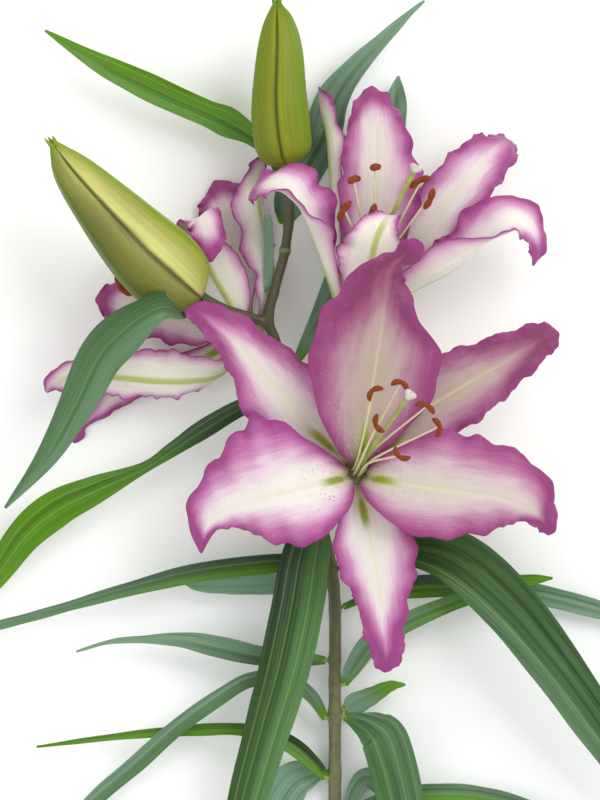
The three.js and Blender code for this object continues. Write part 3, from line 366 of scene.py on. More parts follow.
# %% Measured rows of the eighteen tepals
TEPALS = {
    "front": {
        "petal_top": {"turn": 100, "rows": [
            [0, 0, 0, 3.5, 3.5, 57], [30.2, -27.2, 49, 8, 8, 52], [31.8, -20, 60, 16, 15, 28],
            [33.5, -8, 66, 25, 23, 12], [36.5, 10, 71, 32, 32, 0], [39.5, 28, 75, 33.5, 30, -8],
            [42, 46, 77, 27.5, 16, -8], [43.5, 59, 77, 18.5, 10.5, 0], [46, 66, 77.5, 10.5, 6.5, 10],
            [49.5, 70, 79, 5, 4.5, 15], [54.5, 73.5, 81, 7, 6.5, 20], [59.5, 76.5, 82.5, 4.5, 4.5, 15],
            [61.3, 77.6, 83, 0.8, 0.8, 0]]},
        "petal_left": {"turn": 207, "rows": [
            [0, 0, 0, 3.5, 3.5, 57], [21.5, -39.4, 50, 8, 8, 52], [14, -41, 60, 20, 17, 28],
            [0, -44.5, 64, 28, 34, 10], [-14, -48, 65, 25, 41, 0], [-27, -51.5, 63, 17, 31, -8],
            [-38, -56, 59, 9, 22, -8], [-46, -63, 53, 5, 12, 0], [-49.5, -76.5, 46, 0.6, 0.6, 0]]},
        "petal_right": {"turn": 337, "rows": [
            [0, 0, 0, 3.5, 3.5, 57], [36, -39.4, 50, 8, 8, 52], [43, -40.3, 60, 16, 16, 28],
            [55, -42.5, 64, 25, 23, 10], [70, -44.5, 66, 30, 25, 0], [85, -46.5, 65, 28, 22, -6],
            [100, -49, 62, 26, 17, -10], [112, -53, 57, 20, 10, -8], [120, -59, 51, 11, 5, 0],
            [124, -64.5, 48, 5, 4.5, 0], [124.5, -67.5, 46, 0.8, 0.8, 0]]},
        "sepal_left": {"turn": 143, "rows": [
            [0, 0, 0, 5, 5, 57], [19.5, -28, 45, 7, 7, 45], [11, -20, 52, 12, 12, 30],
            [0, -10, 55, 17, 17, 15], [-12, 6, 55, 20.5, 20, 8], [-25, 21, 53, 13, 15, 0],
            [-38, 34, 53, 9, 12.5, -8], [-49, 43, 54, 6.5, 7, -8], [-55.5, 45.5, 54, 4.5, 4.5, -4],
            [-58.3, 46, 54, 0.8, 0.8, 0]]},
        "sepal_right": {"turn": 32, "rows": [
            [0, 0, 0, 5, 5, 57], [38.5, -29.5, 45, 7, 7, 45], [47, -21, 52, 12, 12, 30],
            [58, -8, 55, 17, 17, 15], [74, 2.5, 55, 21, 19, 8], [90, 12, 54, 17, 17, 0],
            [105, 20.5, 52, 14, 13, -8], [119, 29, 49, 10, 9, -8], [126, 32, 47, 7, 7, -6],
            [129.6, 33.3, 46, 0.8, 0.8, 0]]},
        "sepal_bottom": {"turn": 277, "rows": [
            [0, 0, 0, 5, 5, 57], [30, -48, 45, 7, 7, 45], [32, -57, 51, 13, 13, 30],
            [35, -70, 54, 21, 19, 15], [38, -86, 54, 21, 17, 8], [40, -100, 52, 15, 12, 0],
            [41.5, -115, 49, 11, 10, -8], [43, -127, 46, 9, 7.5, -8], [42.7, -133.5, 44, 5.5, 5.5, -4],
            [42.5, -136.3, 43, 0.8, 0.8, 0]]},
    },
    "right": {
        "petal_top": {"turn": 90, "side": [-1, 0, 0], "rows": [
            [0, 0, 0, 3.5, 3.5, 57], [30.9, 57.3, 30, 7, 7, 52], [36.2, 74, 36, 13, 14, 42],
            [37, 92, 39, 18, 21, 25], [37.5, 110, 40, 17.5, 24, 10], [38, 128, 38, 16, 18, 0],
            [37, 144, 33, 12, 13, -10], [36, 153, 27, 7, 8, -10], [36, 157.5, 22, 0.8, 0.8, 0]]},
        "petal_left": {"turn": 210, "side": [-0.12, -0.6, 0.82], "rows": [
            [0, 0, 0, 3.5, 3.5, 57], [16.5, 55, 40, 6, 7, 62], [11.5, 69, 50, 9.5, 13, 88],
            [7, 82, 56, 15.5, 17, 105], [3, 92, 61, 19, 20, 85], [-2, 101, 63, 15, 20, 50],
            [-10, 108, 60, 13, 16, 15], [-18, 107.5, 55, 12, 12, 0], [-23.5, 104.5, 49, 7.5, 7.5, -8],
            [-25.3, 101.5, 45, 0.8, 0.8, 0]]},
        "petal_right": {"turn": 330, "side": [-0.3, 0.38, -0.87], "rows": [
            [0, 0, 0, 3.5, 3.5, 57], [42, 48, 37.5, 6.5, 6.5, 56], [59, 56.5, 47.5, 13, 18, 90, -12],
            [77, 66, 52, 21, 24, 105, -18], [92, 80, 52, 19, 20, 75, 0], [105, 90, 50, 15, 14, 36, 30],
            [114.5, 87, 46, 10, 9.5, 15, 50], [119, 77, 40, 7, 6, 5, 62], [117, 67.5, 35, 0.8, 0.8, 0, 62]]},
        "sepal_right": {"turn": 30, "side": [-0.8, 0.6, 0], "rows": [
            [0, 0, 0, 5, 5, 57], [38, 55, 22.5, 5, 5.5, 46], [49.5, 70, 27, 12, 10, 36],
            [62, 83, 33, 16, 16, 20], [78, 104, 34, 15, 15, 8], [90, 118, 31, 14, 14, 0],
            [100, 127, 22, 10, 11, -8], [105, 130, 10, 6, 6, -8], [107, 129, -0.3, 1, 1, 0]]},
        "sepal_left": {"turn": 150, "side": [0.4, 0, 0.9], "rows": [
            [0, 0, 0, 4.5, 5, 57], [19.5, 59, 23.5, 4.5, 5.5, 46], [18, 77, 28, 6, 8, 48],
            [16.5, 98, 28, 7, 8, 52], [15.5, 117, 28.5, 9, 8, 54], [14, 134, 29, 10, 8, 50],
            [11, 149, 24, 7, 6, 30], [9.5, 157, 20, 0.8, 0.8, 0]]},
        "sepal_front": {"turn": 270, "side": [1, 0, 0], "rows": [
            [0, 0, 0, 5, 5, 57], [29, 46, 43, 6.5, 6.5, 46], [33, 57, 52, 14, 14, 42],
            [35.5, 69, 60, 17, 18, 32], [38, 80, 66, 14, 14, 15], [42, 88, 67, 9, 9, 0],
            [47, 91.5, 64, 4, 4, 0], [49.5, 90.5, 61, 0.8, 0.8, 0]]},
    },
    "left": {
        "sepal_upper": {"turn": 330, "side": [0.6, 0.14, -0.8], "rows": [
            [0, 0, 0, 4.6, 4.2, 57], [-19.5, 39, 20.5, 5, 4.6, 48], [-15.5, 50, 19.5, 6.5, 9, 48],
            [-13.5, 63, 17.5, 7, 12, 44], [-16.5, 78, 17, 7, 15, 42], [-20.5, 93, 16.5, 7, 15, 42],
            [-21.5, 108, 14, 6, 11, 36], [-19.5, 118, 12, 5, 6, 20], [-18.5, 124.5, 10.5, 0.8, 0.8, 0]]},
        "petal_upper": {"turn": 30, "side": [-0.95, -0.29, -0.08], "rows": [
            [0, 0, 0, 3.5, 3.5, 57], [-24.5, 44.5, 8.2, 4.6, 5, 42], [-29, 60, 6.5, 12, 12, 25],
            [-33, 78, 5.5, 15, 15, 10], [-37, 92, 5.5, 15, 15, 0], [-40, 104, 5, 10, 11, -6],
            [-43, 110.5, 4, 0.8, 0.8, 0]]},
        "petal_near": {"turn": 270, "side": [0.8, 0.6, 0], "rows": [
            [0, 0, 0, 3.5, 3.5, 57], [-30, 36, 27, 5, 6, 46], [-36, 50, 31, 13, 11.5, 32],
            [-43, 62, 32, 16, 13, 20], [-49, 75, 32.5, 13, 11, 14], [-51, 87, 34, 11, 10, 8],
            [-49.5, 92, 39, 10, 9, 0], [-47, 86, 45, 9.5, 9, -10], [-45.5, 77, 46.5, 7.5, 7, -15],
            [-44.5, 69, 45, 0.8, 0.8, 0]]},
        "petal_far": {"turn": 150, "side": [-0.25, -1, 0], "rows": [
            [0, 0, 0, 3.5, 3.5, 57], [-35, 31.5, 12.5, 6, 6, 42], [-48, 37.5, 11.5, 12, 13, 26],
            [-66, 43, 11, 14, 14, 12], [-84, 47, 11, 12, 13, 4], [-97, 50, 11, 9, 9, -5],
            [-103, 50.5, 10.5, 0.8, 0.8, 0]]},
        "sepal_lower": {"turn": 210, "side": [0, 0.93, 0.35], "rows": [
            [0, 0, 0, 5, 5, 57], [-31, 20.5, 22, 7, 6, 50], [-42, 12, 26, 11, 8, 42],
            [-56, 9.7, 28, 14, 9, 34],
            [-72, 9.7, 29, 16, 11, 28], [-92, 11.5, 28.5, 14, 11, 22], [-112, 12, 25, 9, 9, 12],
            [-124, 8.5, 21, 5, 5, 0], [-127.5, 4, 18, 0.8, 0.8, 0]]},
        "sepal_far": {"turn": 90, "side": [0.5, -0.85, 0], "rows": [
            [0, 0, 0, 4, 3, 45], [-35, 28.5, 5.5, 5, 4, 34], [-54, 18, 4, 7.5, 7.5, 16],
            [-75, 11, 3.6, 7.5, 7.5, 6], [-92, 2.5, 3.4, 6.5, 6.5, 0], [-101, -5, 3, 5, 4.5, 0],
            [-108.5, -12, 2, 2, 2, 0], [-111.5, -17.5, 1.2, 3.2, 3.2, 0], [-114, -21.5, -0.3, 0.8, 0.8, 0]]},
    },
}
print("measured tepals:", sum(len(tables) for tables in TEPALS.values()))

# %% [markdown]
# ## The material of a tepal's face
# Petal tissue is a wet, slightly translucent skin over air-filled cells, so it shines softly and
# some light enters it. The colour runs from cream over lilac to magenta with the distance from
# the midrib, and breaks up along the fine parallel veins. The distance is kept in the mesh as an
# attribute in millimetres, because the veins are about 0.9 mm apart on a wide tepal and on a
# narrow one alike. Over the pink lies a painted shade, a grey-beige darkening that is stronger on
# the tepals that turn away from the light, and the very margin is a line of dark magenta.

# %% Petal tissue, inner face and back
def petal_tissue(name, colours, line, furrow, raggedness):
    material, tree, surface = new_material(name)
    painted_shade_and_rim = add(tree, "ShaderNodeAttribute", attribute_name="painted_shade_and_rim").outputs["Vector"]
    tint = add(tree, "ShaderNodeAttribute", attribute_name="tint").outputs["Vector"]
    millimetres = add(tree, "ShaderNodeAttribute", attribute_name="millimetres").outputs["Vector"]
    shade_and_rim_parts = add(tree, "ShaderNodeSeparateXYZ", {0: painted_shade_and_rim})
    masks = add(tree, "ShaderNodeSeparateXYZ", {0: tint})

    # clouds of colour 7 mm wide and 24 mm long, and veins 0.9 mm apart
    stretched = add(tree, "ShaderNodeVectorMath", {0: millimetres, 1: (1 / 7, 1 / 24, 1)},
                    operation="MULTIPLY").outputs[0]
    cloud = add(tree, "ShaderNodeTexNoise", {"Vector": stretched, "Scale": 1.0, "Detail": 3.0}).outputs[0]
    along_veins = add(tree, "ShaderNodeVectorMath", {0: millimetres, 1: (1 / 0.9, 1 / 14, 1)},
                      operation="MULTIPLY").outputs[0]
    veins = add(tree, "ShaderNodeTexNoise", {"Vector": along_veins, "Scale": 1.0}).outputs[0]
    # velvet: single swollen cells, about 0.4 mm apart, catch the light or stay dark
    velvet = add(tree, "ShaderNodeTexNoise", {"Vector": millimetres, "Scale": 2.4, "Detail": 2.0}).outputs[0]

    # clouds, veins and velvet each shift the amount of pink, so no border of colour is smooth
    ragged = add(tree, "ShaderNodeMath", {0: cloud, 1: raggedness, 2: masks.outputs["X"]},
                 operation="MULTIPLY_ADD").outputs[0]
    streaky = add(tree, "ShaderNodeMath", {0: veins, 1: 0.16, 2: ragged}, operation="MULTIPLY_ADD").outputs[0]
    speckled = add(tree, "ShaderNodeMath", {0: velvet, 1: 0.12, 2: streaky},
                   operation="MULTIPLY_ADD").outputs[0]
    pink = add(tree, "ShaderNodeValToRGB", {0: speckled}, stops=colours).outputs[0]
    # painted shade: the first channel multiplies the pink by a grey-beige, most on the tepals that turn away
    # from the light
    shaded_pink = add(tree, "ShaderNodeMix", {0: shade_and_rim_parts.outputs["X"], 6: pink, 7: linear("#C4B4AA")},
                data_type="RGBA", blend_type="MULTIPLY").outputs[2]
    yellow = add(tree, "ShaderNodeMix", {0: masks.outputs["Y"], 6: shaded_pink, 7: linear(line)},
                 data_type="RGBA").outputs[2]
    green = add(tree, "ShaderNodeMix", {0: masks.outputs["Z"], 6: yellow, 7: linear(furrow)},
                data_type="RGBA").outputs[2]
    # bruised, greyer patches about 3 mm wide
    patch = add(tree, "ShaderNodeTexNoise", {"Vector": millimetres, "Scale": 0.3, "Detail": 5.0}).outputs[0]
    bruise = add(tree, "ShaderNodeMapRange", {0: patch, 1: 0.5, 2: 0.9, 3: 0.0, 4: 0.14}).outputs[0]
    bruised = add(tree, "ShaderNodeMix", {0: bruise, 6: green, 7: linear("#A792AE")},
                  data_type="RGBA").outputs[2]
    colour = add(tree, "ShaderNodeMix", {0: shade_and_rim_parts.outputs["Y"], 6: bruised, 7: linear("#8E2C70")},
                 data_type="RGBA").outputs[2]

    vein_relief = add(tree, "ShaderNodeBump", {"Height": veins, "Distance": 0.00018, "Strength": 0.6})
    skin = add(tree, "ShaderNodeBump", {"Height": velvet, "Distance": 0.00014, "Strength": 0.55,
               "Normal": vein_relief.outputs[0]})
    shine = add(tree, "ShaderNodeMapRange", {0: veins, 1: 0.2, 2: 0.8, 3: 0.42, 4: 0.58})
    fill(tree, surface, {
        "Base Color": colour, "Normal": skin.outputs[0], "Roughness": shine.outputs[0], "IOR": 1.4,
        "Subsurface Weight": 0.15, "Subsurface Radius": (0.0016, 0.0011, 0.0012), "Sheen Weight": 0.1,
        "Sheen Roughness": 0.5,
    })
    return material


INSIDE_COLOURS = [(0.33, "#E5DFD9"), (0.49, "#DCC3D3"), (0.63, "#CA95B9"), (0.82, "#B3629A"),
                  (1.0, "#983C7E")]
BACK_COLOURS = [(0.45, "#E9E5D9"), (0.62, "#DFC5D1"), (0.78, "#CB90BA"), (0.94, "#AC5994"),
                (1.0, "#974283")]
petal_inside = petal_tissue("petal_tissue_inside", INSIDE_COLOURS, line="#D6D29C", furrow="#8FA026",
                            raggedness=0.34)
petal_back = petal_tissue("petal_tissue_back", BACK_COLOURS, line="#A9B552", furrow="#97A83C",
                          raggedness=0.24)
print("petal materials:", petal_inside.name, petal_back.name)

# %% [markdown]
# ## The crimped margin of a tepal
# Beyond the slow waves of the solid, a real margin is crimped: ruffles about a centimetre apart,
# smaller ones on top of them, and a finely nicked outline. Their strength swells and fades along
# the margin, because an even sine would look machined. The odd factors of the phase have no other
# meaning than to keep the two margins, and one tepal and the next, out of step.

# %% Ruffles, folds and nicks
ALONG_TEPAL, ACROSS_TEPAL = np.linspace(0, 1, 132), np.linspace(1, -1, 65)
CRIMP_HEIGHT = {"front": 1.0, "right": 1.35, "left": 1.6}     # mm
CRIMP_COUNT = {"petal": 7.5, "sepal": 11.0}                   # from foot to tip
CRIMP_FROM = 0.6                                              # share of the half-width
FOLD_HEIGHT, FOLD_SPACING = 0.12, 6.5                         # mm
NICK, FINE_NICK = 0.45, 0.18                                  # mm
NICKED_FROM = 8.0     # mm from the midrib; a narrower blade is nicked less


def crimped(points, normals, from_rib, fade, bloom, kind, phase):
    """Moves the points of a smooth sheet into the ruffles, folds and nicks of a real tepal."""
    a, count = ALONG_TEPAL[:, None], CRIMP_COUNT[kind]
    reach, hand = np.abs(ACROSS_TEPAL)[None, :], np.sign(ACROSS_TEPAL)[None, :]
    margin = np.clip((reach - CRIMP_FROM) / (1 - CRIMP_FROM), 0, 1) ** 1.6
    broad = np.minimum(1, np.abs(from_rib[:, :1]) / FULL_WAVE_WIDTH) * fade

    gust = 0.65 + 0.35 * ripple(2.3, a, 2 * phase + hand)
    drift = 1.1 * ripple(1.7, a, 2.6 * phase + hand)
    large = gust * ripple(count, a, drift + 3.1 * phase + 1.9 * hand)
    small = 0.35 * ripple(2.3 * count, a, 2 * drift + phase + 2.2 * hand)
    ruffles = CRIMP_HEIGHT[bloom] * (large + small) * margin * broad
    folds = FOLD_HEIGHT * np.cos(2 * np.pi * from_rib / FOLD_SPACING) * (1 - reach) * fade
    points = points + normals * (ruffles + folds)[..., None]

    nicks = NICK * ripple(1.4 * count, a, 2.2 * drift + 4 * phase + hand)
    nicks = broad * margin * (nicks + FINE_NICK * ripple(3.3 * count, a, 5 * phase))
    from_middle = points - points[:, [len(ACROSS_TEPAL) // 2]]
    return points + from_middle * (nicks / np.maximum(NICKED_FROM, np.abs(from_rib)))[..., None]


print("ruffles on each margin:", CRIMP_COUNT)

# %% [markdown]
# ## Where a tepal is pink, yellow and green, and where shade is painted on it
# Near the foot only the margin is pink, and towards the tip the pink closes in over the middle. A
# pale yellow line follows the midrib, the throat is yellow, and the furrow that holds the nectar
# is green. The back is pink only near the margin and the tip, and its keel is green. A painted
# shade darkens the tepals that turn away from the light. Each of these is a mask, worked out from
# the place on the tepal and kept in the mesh.

# %% Masks of the colours
# painted shade: how much each tepal is darkened to grey-beige, most where it turns away from the stronger
# soft box; the others get a slight one, the backs a little more
PAINTED_SHADE = {("front", "petal_top"): 1.0, ("front", "sepal_right"): 1.0, ("front", "petal_right"): 0.6,
         ("front", "sepal_left"): 0.35, ("front", "sepal_bottom"): 0.2, ("right", "petal_top"): 0.4,
         ("right", "sepal_right"): 0.25}
SLIGHT_PAINTED_SHADE, BACK_PAINTED_SHADE = 0.1, 0.15
PINK_POWER = {"petal": (1.9, 1.15), "sepal": (2.6, 1.05)}   # at the foot and at the tip
# shares of the length over which the middle turns pink too
BLUSH = {"petal": (0.8, 0.97), "sepal": (0.64, 0.94), ("front", "petal_top"): (0.5, 0.85)}
PALER = {"front": 0.0, "right": 0.45, "left": 0.8}  # the side blooms opened later and are paler
DARK_TIP = {("front", "petal_top"): 0.85}
SLIGHTLY_DARK_TIP = 0.3


def tepal_colours(bloom, name, from_rib, way):
    """The painted shade and the margin line, and the tint, each as a pair for the inner face and the back."""
    kind, off_rib, reach = name[:5], np.abs(from_rib), np.abs(ACROSS_TEPAL)[None, :]
    foot_power, tip_power = PINK_POWER[kind]
    power = foot_power + (tip_power - foot_power) * smoothstep(0.15, 0.7, way) + PALER[bloom]
    closing = BLUSH.get((bloom, name), BLUSH[kind])
    blush = 0.5 * smoothstep(*closing, way) + 0.4 * smoothstep(0.86, 1.0, way) + 0.05 * PALER[bloom]
    pink = 0.86 * reach ** power + blush - 0.06
    line = (1 - smoothstep(0.2, 1.2, off_rib)) * (1 - smoothstep(0.4, 0.85, way)) * 0.5
    throat = (1 - smoothstep(1.5, 7, off_rib)) * (1 - smoothstep(0.12, 0.34, way)) * 0.6
    taper = smoothstep(0.06, 0.16, way) * (1 - smoothstep(0.22, 0.3, way))
    furrow_width = 0.6 + 2.4 * smoothstep(0.06, 0.2, way)
    nectar = (1 - smoothstep(0.3, 1.0, off_rib / furrow_width)) * taper

    pink_back = 0.66 * reach ** 2.2 + 0.45 * smoothstep(0.8, 1.0, way) + 0.03
    keel_line = (1 - smoothstep(0.7, 2.4, off_rib)) * (1 - smoothstep(0.8, 0.97, way)) * 0.85
    green_foot = (1 - smoothstep(2, 9, off_rib)) * (1 - smoothstep(0.1, 0.3, way)) * 0.6

    # the dark magenta line of the margin, which fills the tip where both margins meet
    tip = DARK_TIP.get((bloom, name), SLIGHTLY_DARK_TIP) * smoothstep(0.93, 0.98, way)
    rim = np.maximum(0.8 * smoothstep(0.93, 0.985, reach) * smoothstep(0.1, 0.3, way), tip)
    # the painted shade lies in the middle of the blade and thins out towards the margins
    painted_shade = PAINTED_SHADE.get((bloom, name), SLIGHT_PAINTED_SHADE) * (1 - 0.6 * reach ** 2)
    shape = from_rib.shape
    painted_shade_and_rim = (layers(shape, painted_shade, rim, 0), layers(shape, BACK_PAINTED_SHADE, rim, 0))
    tint = (layers(shape, pink, np.maximum(line, throat), nectar),
            layers(shape, pink_back, keel_line, green_foot))
    return painted_shade_and_rim, tint


print("tepals with a beige of their own:", len(PAINTED_SHADE))

# %% [markdown]
# ## Making the tepals
# A bloom is placed by its base and its axis. The three petals stand on a small circle and the
# three sepals on a wider one, so their feet never share a place. The midrib is a furrow on the
# inner face and a keel on the back, and the blade gets thinner from the midrib to the margin.

# %% The eighteen tepals
BLOOMS = {
    "front": {"base": (28.5, -36, 36), "axis": (0.12, 0.16, 1)},
    "right": {"base": (25, 37.5, 24), "axis": (0.296, 0.793, 0.533)},
    "left": {"base": (-21.5, 28, 15.5), "axis": (-0.857, 0.504, 0.1)},
}
CLAW_RADIUS = {"petal": 4.3, "sepal": 6.7}      # mm
TEPAL_WAVES = {"height": 2.4, "count": 5, "from": 0.4, "width": 0.05}
TEPAL_PHASE = 1.3
MIDRIB_THICKNESS, MARGIN_THICKNESS = 1.2, 0.4   # mm
FURROW_DEPTH, FURROW_BANKS, KEEL_HEIGHT = 0.4, 0.14, 0.75


def place_of(bloom):
    table = BLOOMS[bloom]
    return np.array(table["base"], float), unit(np.array(table["axis"], float))


def outward_at(axis, turn):
    sideways = unit(np.array([1.0, 0, 0]) - axis * axis[0])
    return turned(sideways, axis, np.radians(np.array(float(turn))))


def tepal(bloom, name, table, order):
    kind, phase = name[:5], TEPAL_PHASE * order
    base, axis = place_of(bloom)
    outward = outward_at(axis, table["turn"])
    foot = base + outward * CLAW_RADIUS[kind]
    rows = [list(foot) + table["rows"][0][3:]] + table["rows"][1:]
    sheet = {"rows": rows, "side": table.get("side"), "base_side": np.cross(axis, outward)}
    points, normals, from_rib, fade = sheet_surface(sheet, ALONG_TEPAL, ACROSS_TEPAL, TEPAL_WAVES, phase)
    points = crimped(points, normals, from_rib, fade, bloom, kind, phase)

    a, reach = ALONG_TEPAL[:, None], np.abs(ACROSS_TEPAL)[None, :]
    thickness = MIDRIB_THICKNESS + (MARGIN_THICKNESS - MIDRIB_THICKNESS) * reach ** 0.8
    banks = FURROW_BANKS * bump(np.abs(from_rib), 3.0, 1.4)
    furrow = (FURROW_DEPTH * bump(from_rib, 0, 1.1) - banks) * (1 - smoothstep(0.6, 0.98, a))
    keel = KEEL_HEIGHT * bump(from_rib, 0, 1.4) * (1 - smoothstep(0.75, 1, a))
    upper = points + normals * (thickness / 2 - furrow)[..., None]
    lower = points - normals * (thickness / 2 + keel)[..., None]

    length = length_along(points[:, len(ACROSS_TEPAL) // 2])
    way = length / length[-1]
    painted_shade_and_rim, tint = tepal_colours(bloom, name, from_rib, way)
    warty = bump(way, 0.22, 0.12) * bump(reach, 0.4, 0.22) * (kind == "petal")
    shape = from_rib.shape
    own_pattern = 7.0 * order + 31.0 * len(bloom)     # no two tepals show the same clouds
    attributes = {
        "painted_shade_and_rim": painted_shade_and_rim,
        "millimetres": layers(shape, from_rib, length, own_pattern),
        "tint": tint,
        "warty": layers(shape, warty).ravel(),
    }
    uv = layers(shape, (1 - ACROSS_TEPAL[None, :]) / 2, a)
    piece = close_sheet(f"{bloom}_bloom_{name}_tissue", upper, lower, uv, attributes,
                        [petal_inside, petal_back])
    hand_over(piece, "tepal", f"{bloom}_bloom_{name}")
    return piece


tepal_pieces = {}
for bloom, tables in TEPALS.items():
    for order, (name, table) in enumerate(tables.items()):
        tepal_pieces[bloom, name] = tepal(bloom, name, table, order)
print("tepals:", len(tepal_pieces))

# %% [markdown]
# ## The tables of the leaves
# The leaves grow one by one round the stem, without a stalk: each starts as a narrow foot, widens,
# and tapers to a point. Here is the path and the half-width of each, numbered down the plant from
# the leaf that hangs under the large bud.

# %% Measured rows of the twenty leaves
LEAVES = [
    [[-53, 45.5, 36.5, 2.2, 2.2], [-59.5, 43.5, 53, 3.2, 4.8], [-67, 46, 63, 5.5, 8.5],
        [-76, 43, 65.5, 8.5, 8.5], [-87.5, 34.5, 63, 12, 11.5], [-100, 21.3, 58, 12, 11.5],
        [-111.8, -2.2, 54, 9.6, 9.2], [-127, -28.5, 51, 5.8, 5.4], [-147.5, -54, 47, 0.7, 0.7]],
    [[-10.2, 113, 25.5, 2, 2], [-15, 124, 21, 3.5, 3.5], [-24, 132.5, 17.5, 5, 5],
        [-36, 139.5, 16, 8, 7.8], [-49, 145, 17, 6.9, 6.9], [-66, 152.5, 19, 7.3, 7.3],
        [-85, 161.5, 21, 6.8, 6.8], [-104, 171, 23, 4.6, 4.6], [-128, 185.5, 25, 0.6, 0.6]],
    [[-8, 88, 23, 3, 3], [-5, 98, 20, 9, 8], [2, 115, 15, 11, 10], [11, 132, 12, 11, 10],
        [17.5, 151.5, 11, 9.5, 7.5], [28.5, 167, 13, 6.5, 5], [42, 181, 17, 4, 3], [54, 193, 20, 2, 1.6],
        [62.5, 200.5, 22, 0.6, 0.6]],
    [[-2, 19, 19, 2, 2], [15, 50, 9, 7, 7], [33, 95, 6, 9, 9], [44, 130, 6, 8, 8], [48, 150, 7, 6, 6],
        [49.5, 163, 9, 0.6, 0.6]],
    [[-16.2, 54, 24.6, 1.6, 1.6], [-15.8, 64, 24.6, 2.3, 2.3], [-15.6, 78, 24.4, 2.5, 2.5],
        [-16, 88, 24.2, 2.3, 2.3], [-16.3, 93.3, 24, 1.2, 1.2]],
    [[-8.5, -6, 20, 2.5, 2.5], [-20, -1.5, 23, 4, 4], [-30.5, -4.2, 25, 4.5, 4.5],
        [-49, -15, 26, 5.1, 5.1], [-63.5, -24.5, 26, 3.8, 3.8], [-78, -33.8, 25, 3, 3],
        [-104, -45.6, 23, 7.6, 7.6], [-122, -54.4, 20.5, 9.8, 9.8], [-138, -67.5, 18, 9.2, 9.2],
        [-152, -87, 14.5, 6.5, 6.5], [-168, -112, 11, 0.6, 0.6]],
    [[11.5, -84, 16, 2.5, 2.5], [0, -82.5, 20, 5, 5], [-18, -82.5, 22, 5.1, 5.1], [-53, -87, 22, 5, 5],
        [-88, -95.6, 21, 3.6, 3.6], [-114, -103, 18, 2.6, 2.6],
        [-135, -109, 15, 2.4, 2.4], [-151, -113.2, 12, 2.3, 2.3],
        [-170, -118.5, 9, 0.6, 0.6]],
    [[12, -93, 12, 2, 2], [-5, -92.5, 12, 5, 5], [-30, -93, 13, 5, 5], [-50, -93.5, 13, 3, 3],
        [-57.5, -92.5, 13, 0.6, 0.6]],
    [[12.8, -131, 13, 2, 2], [0, -130, 15, 4, 4], [-20, -128, 17, 5.6, 4.6], [-40, -123.7, 17, 6.3, 5.2],
        [-57.5, -120.4, 16, 4.6, 3.8], [-75, -120, 15, 2.6, 2], [-95, -121.5, 13, 1.2, 1.2],
        [-112.5, -126.5, 12, 0.6, 0.6]],
    [[12.9, -160, 12, 2, 2], [5, -148, 15, 3.5, 3.5], [-8, -139.5, 18, 4.2, 3.4], [-25, -140, 21, 4.4, 3.2],
        [-40, -148.3, 23, 4.8, 3.6], [-61.5, -163.5, 22, 5, 3.8],
        [-82.5, -182.5, 18, 5, 4.2], [-100, -197.5, 14, 4.5, 4],
        [-115, -213, 11, 3, 3], [-126, -226, 9, 0.6, 0.6]],
    [[12.9, -190, 10, 2, 2], [8, -184, 12, 3.6, 3.6], [-2, -175, 14, 4.6, 4.6], [-14, -168.5, 14, 3.8, 3.8],
        [-31.5, -165.5, 14, 3.2, 3.2], [-50, -165.8, 13.5, 3.1, 3.1], [-75, -167.5, 13, 2.3, 2.3],
        [-100, -170.2, 11, 1.6, 1.6], [-132.5, -174.5, 9, 0.6, 0.6]],
    [[8.5, -57, 22.5, 3, 3], [5, -70, 30, 11, 11], [2, -84, 33, 13.2, 13.2], [-1.5, -105, 35, 13.8, 13.8],
        [-8, -135, 35, 13.5, 13.5], [-16.5, -165, 33, 12.2, 12],
        [-25, -195, 30, 10.6, 10.6], [-33, -225, 26, 8, 8],
        [-41, -250, 22, 0.7, 0.7]],
    [[12.9, -187, 5, 2, 2], [5, -189, 6, 6, 8], [-4, -194, 6.5, 9, 12], [-12, -208, 6, 10, 11],
        [-16, -226, 5, 8, 8], [-18, -246, 4, 0.6, 0.6]],
    [[22.3, -159, 13, 2, 2], [29, -161, 17, 4, 5.5], [37, -165.5, 20, 10, 9.5],
        [42.5, -173, 21.5, 13.5, 11.5],
        [50, -200, 20, 12.5, 12], [52, -220, 17, 11, 10], [53, -240, 13, 6, 6], [53.5, -252, 11, 0.7, 0.7]],
    [[23.2, -212, 5.5, 1.6, 2], [26.5, -199, 5.5, 3.6, 4.5], [33, -191, 6, 6, 5], [44, -195, 6, 8, 7],
        [52, -212, 5, 7, 7], [57, -232, 4, 0.6, 0.6]],
    [[22.2, -156, 9.5, 2, 2], [27, -153.5, 10, 6, 5.5], [36, -149, 12, 5, 4.5], [45, -144, 14, 3, 3],
        [53, -143, 14, 0.6, 0.6]],
    [[22, -143, 14, 2, 2], [26, -135, 16, 4, 4.5], [36, -121.5, 19, 5.5, 6], [56, -110.5, 20, 5, 5],
        [78, -101.5, 19, 4.5, 4], [100, -93.5, 18, 4, 4], [115, -90.5, 17, 3, 3], [127, -89.5, 17, 0.6, 0.6]],
    [[21.3, -84, 18.5, 2.5, 2.5], [38, -76, 26, 7, 6], [60, -76, 32, 14, 8.5], [80, -84, 35, 18, 11],
        [105, -106, 36, 17, 13], [128, -133, 34, 14, 13.5], [148, -160, 30, 11.5, 13],
        [165, -185, 25, 10, 10],
        [180, -210, 19, 0.8, 0.8]],
    [[21.8, -104, 12, 1.6, 1.6], [35, -99, 11, 2.5, 2.5], [58, -94, 10, 6, 6], [85, -94, 9, 5.5, 5.5],
        [115, -97, 8, 5.5, 5.5], [145, -104, 7, 5, 5], [170, -112, 6, 3, 3], [185, -118, 5, 0.6, 0.6]],
    [[22.1, -208, 10, 2, 2], [40, -202, 12, 4, 4], [62, -198, 12, 5, 5], [88, -198.5, 10, 4.8, 4.8],
        [115, -205, 8, 4, 4], [140, -215, 6, 0.6, 0.6]],
]
print("measured leaves:", len(LEAVES))
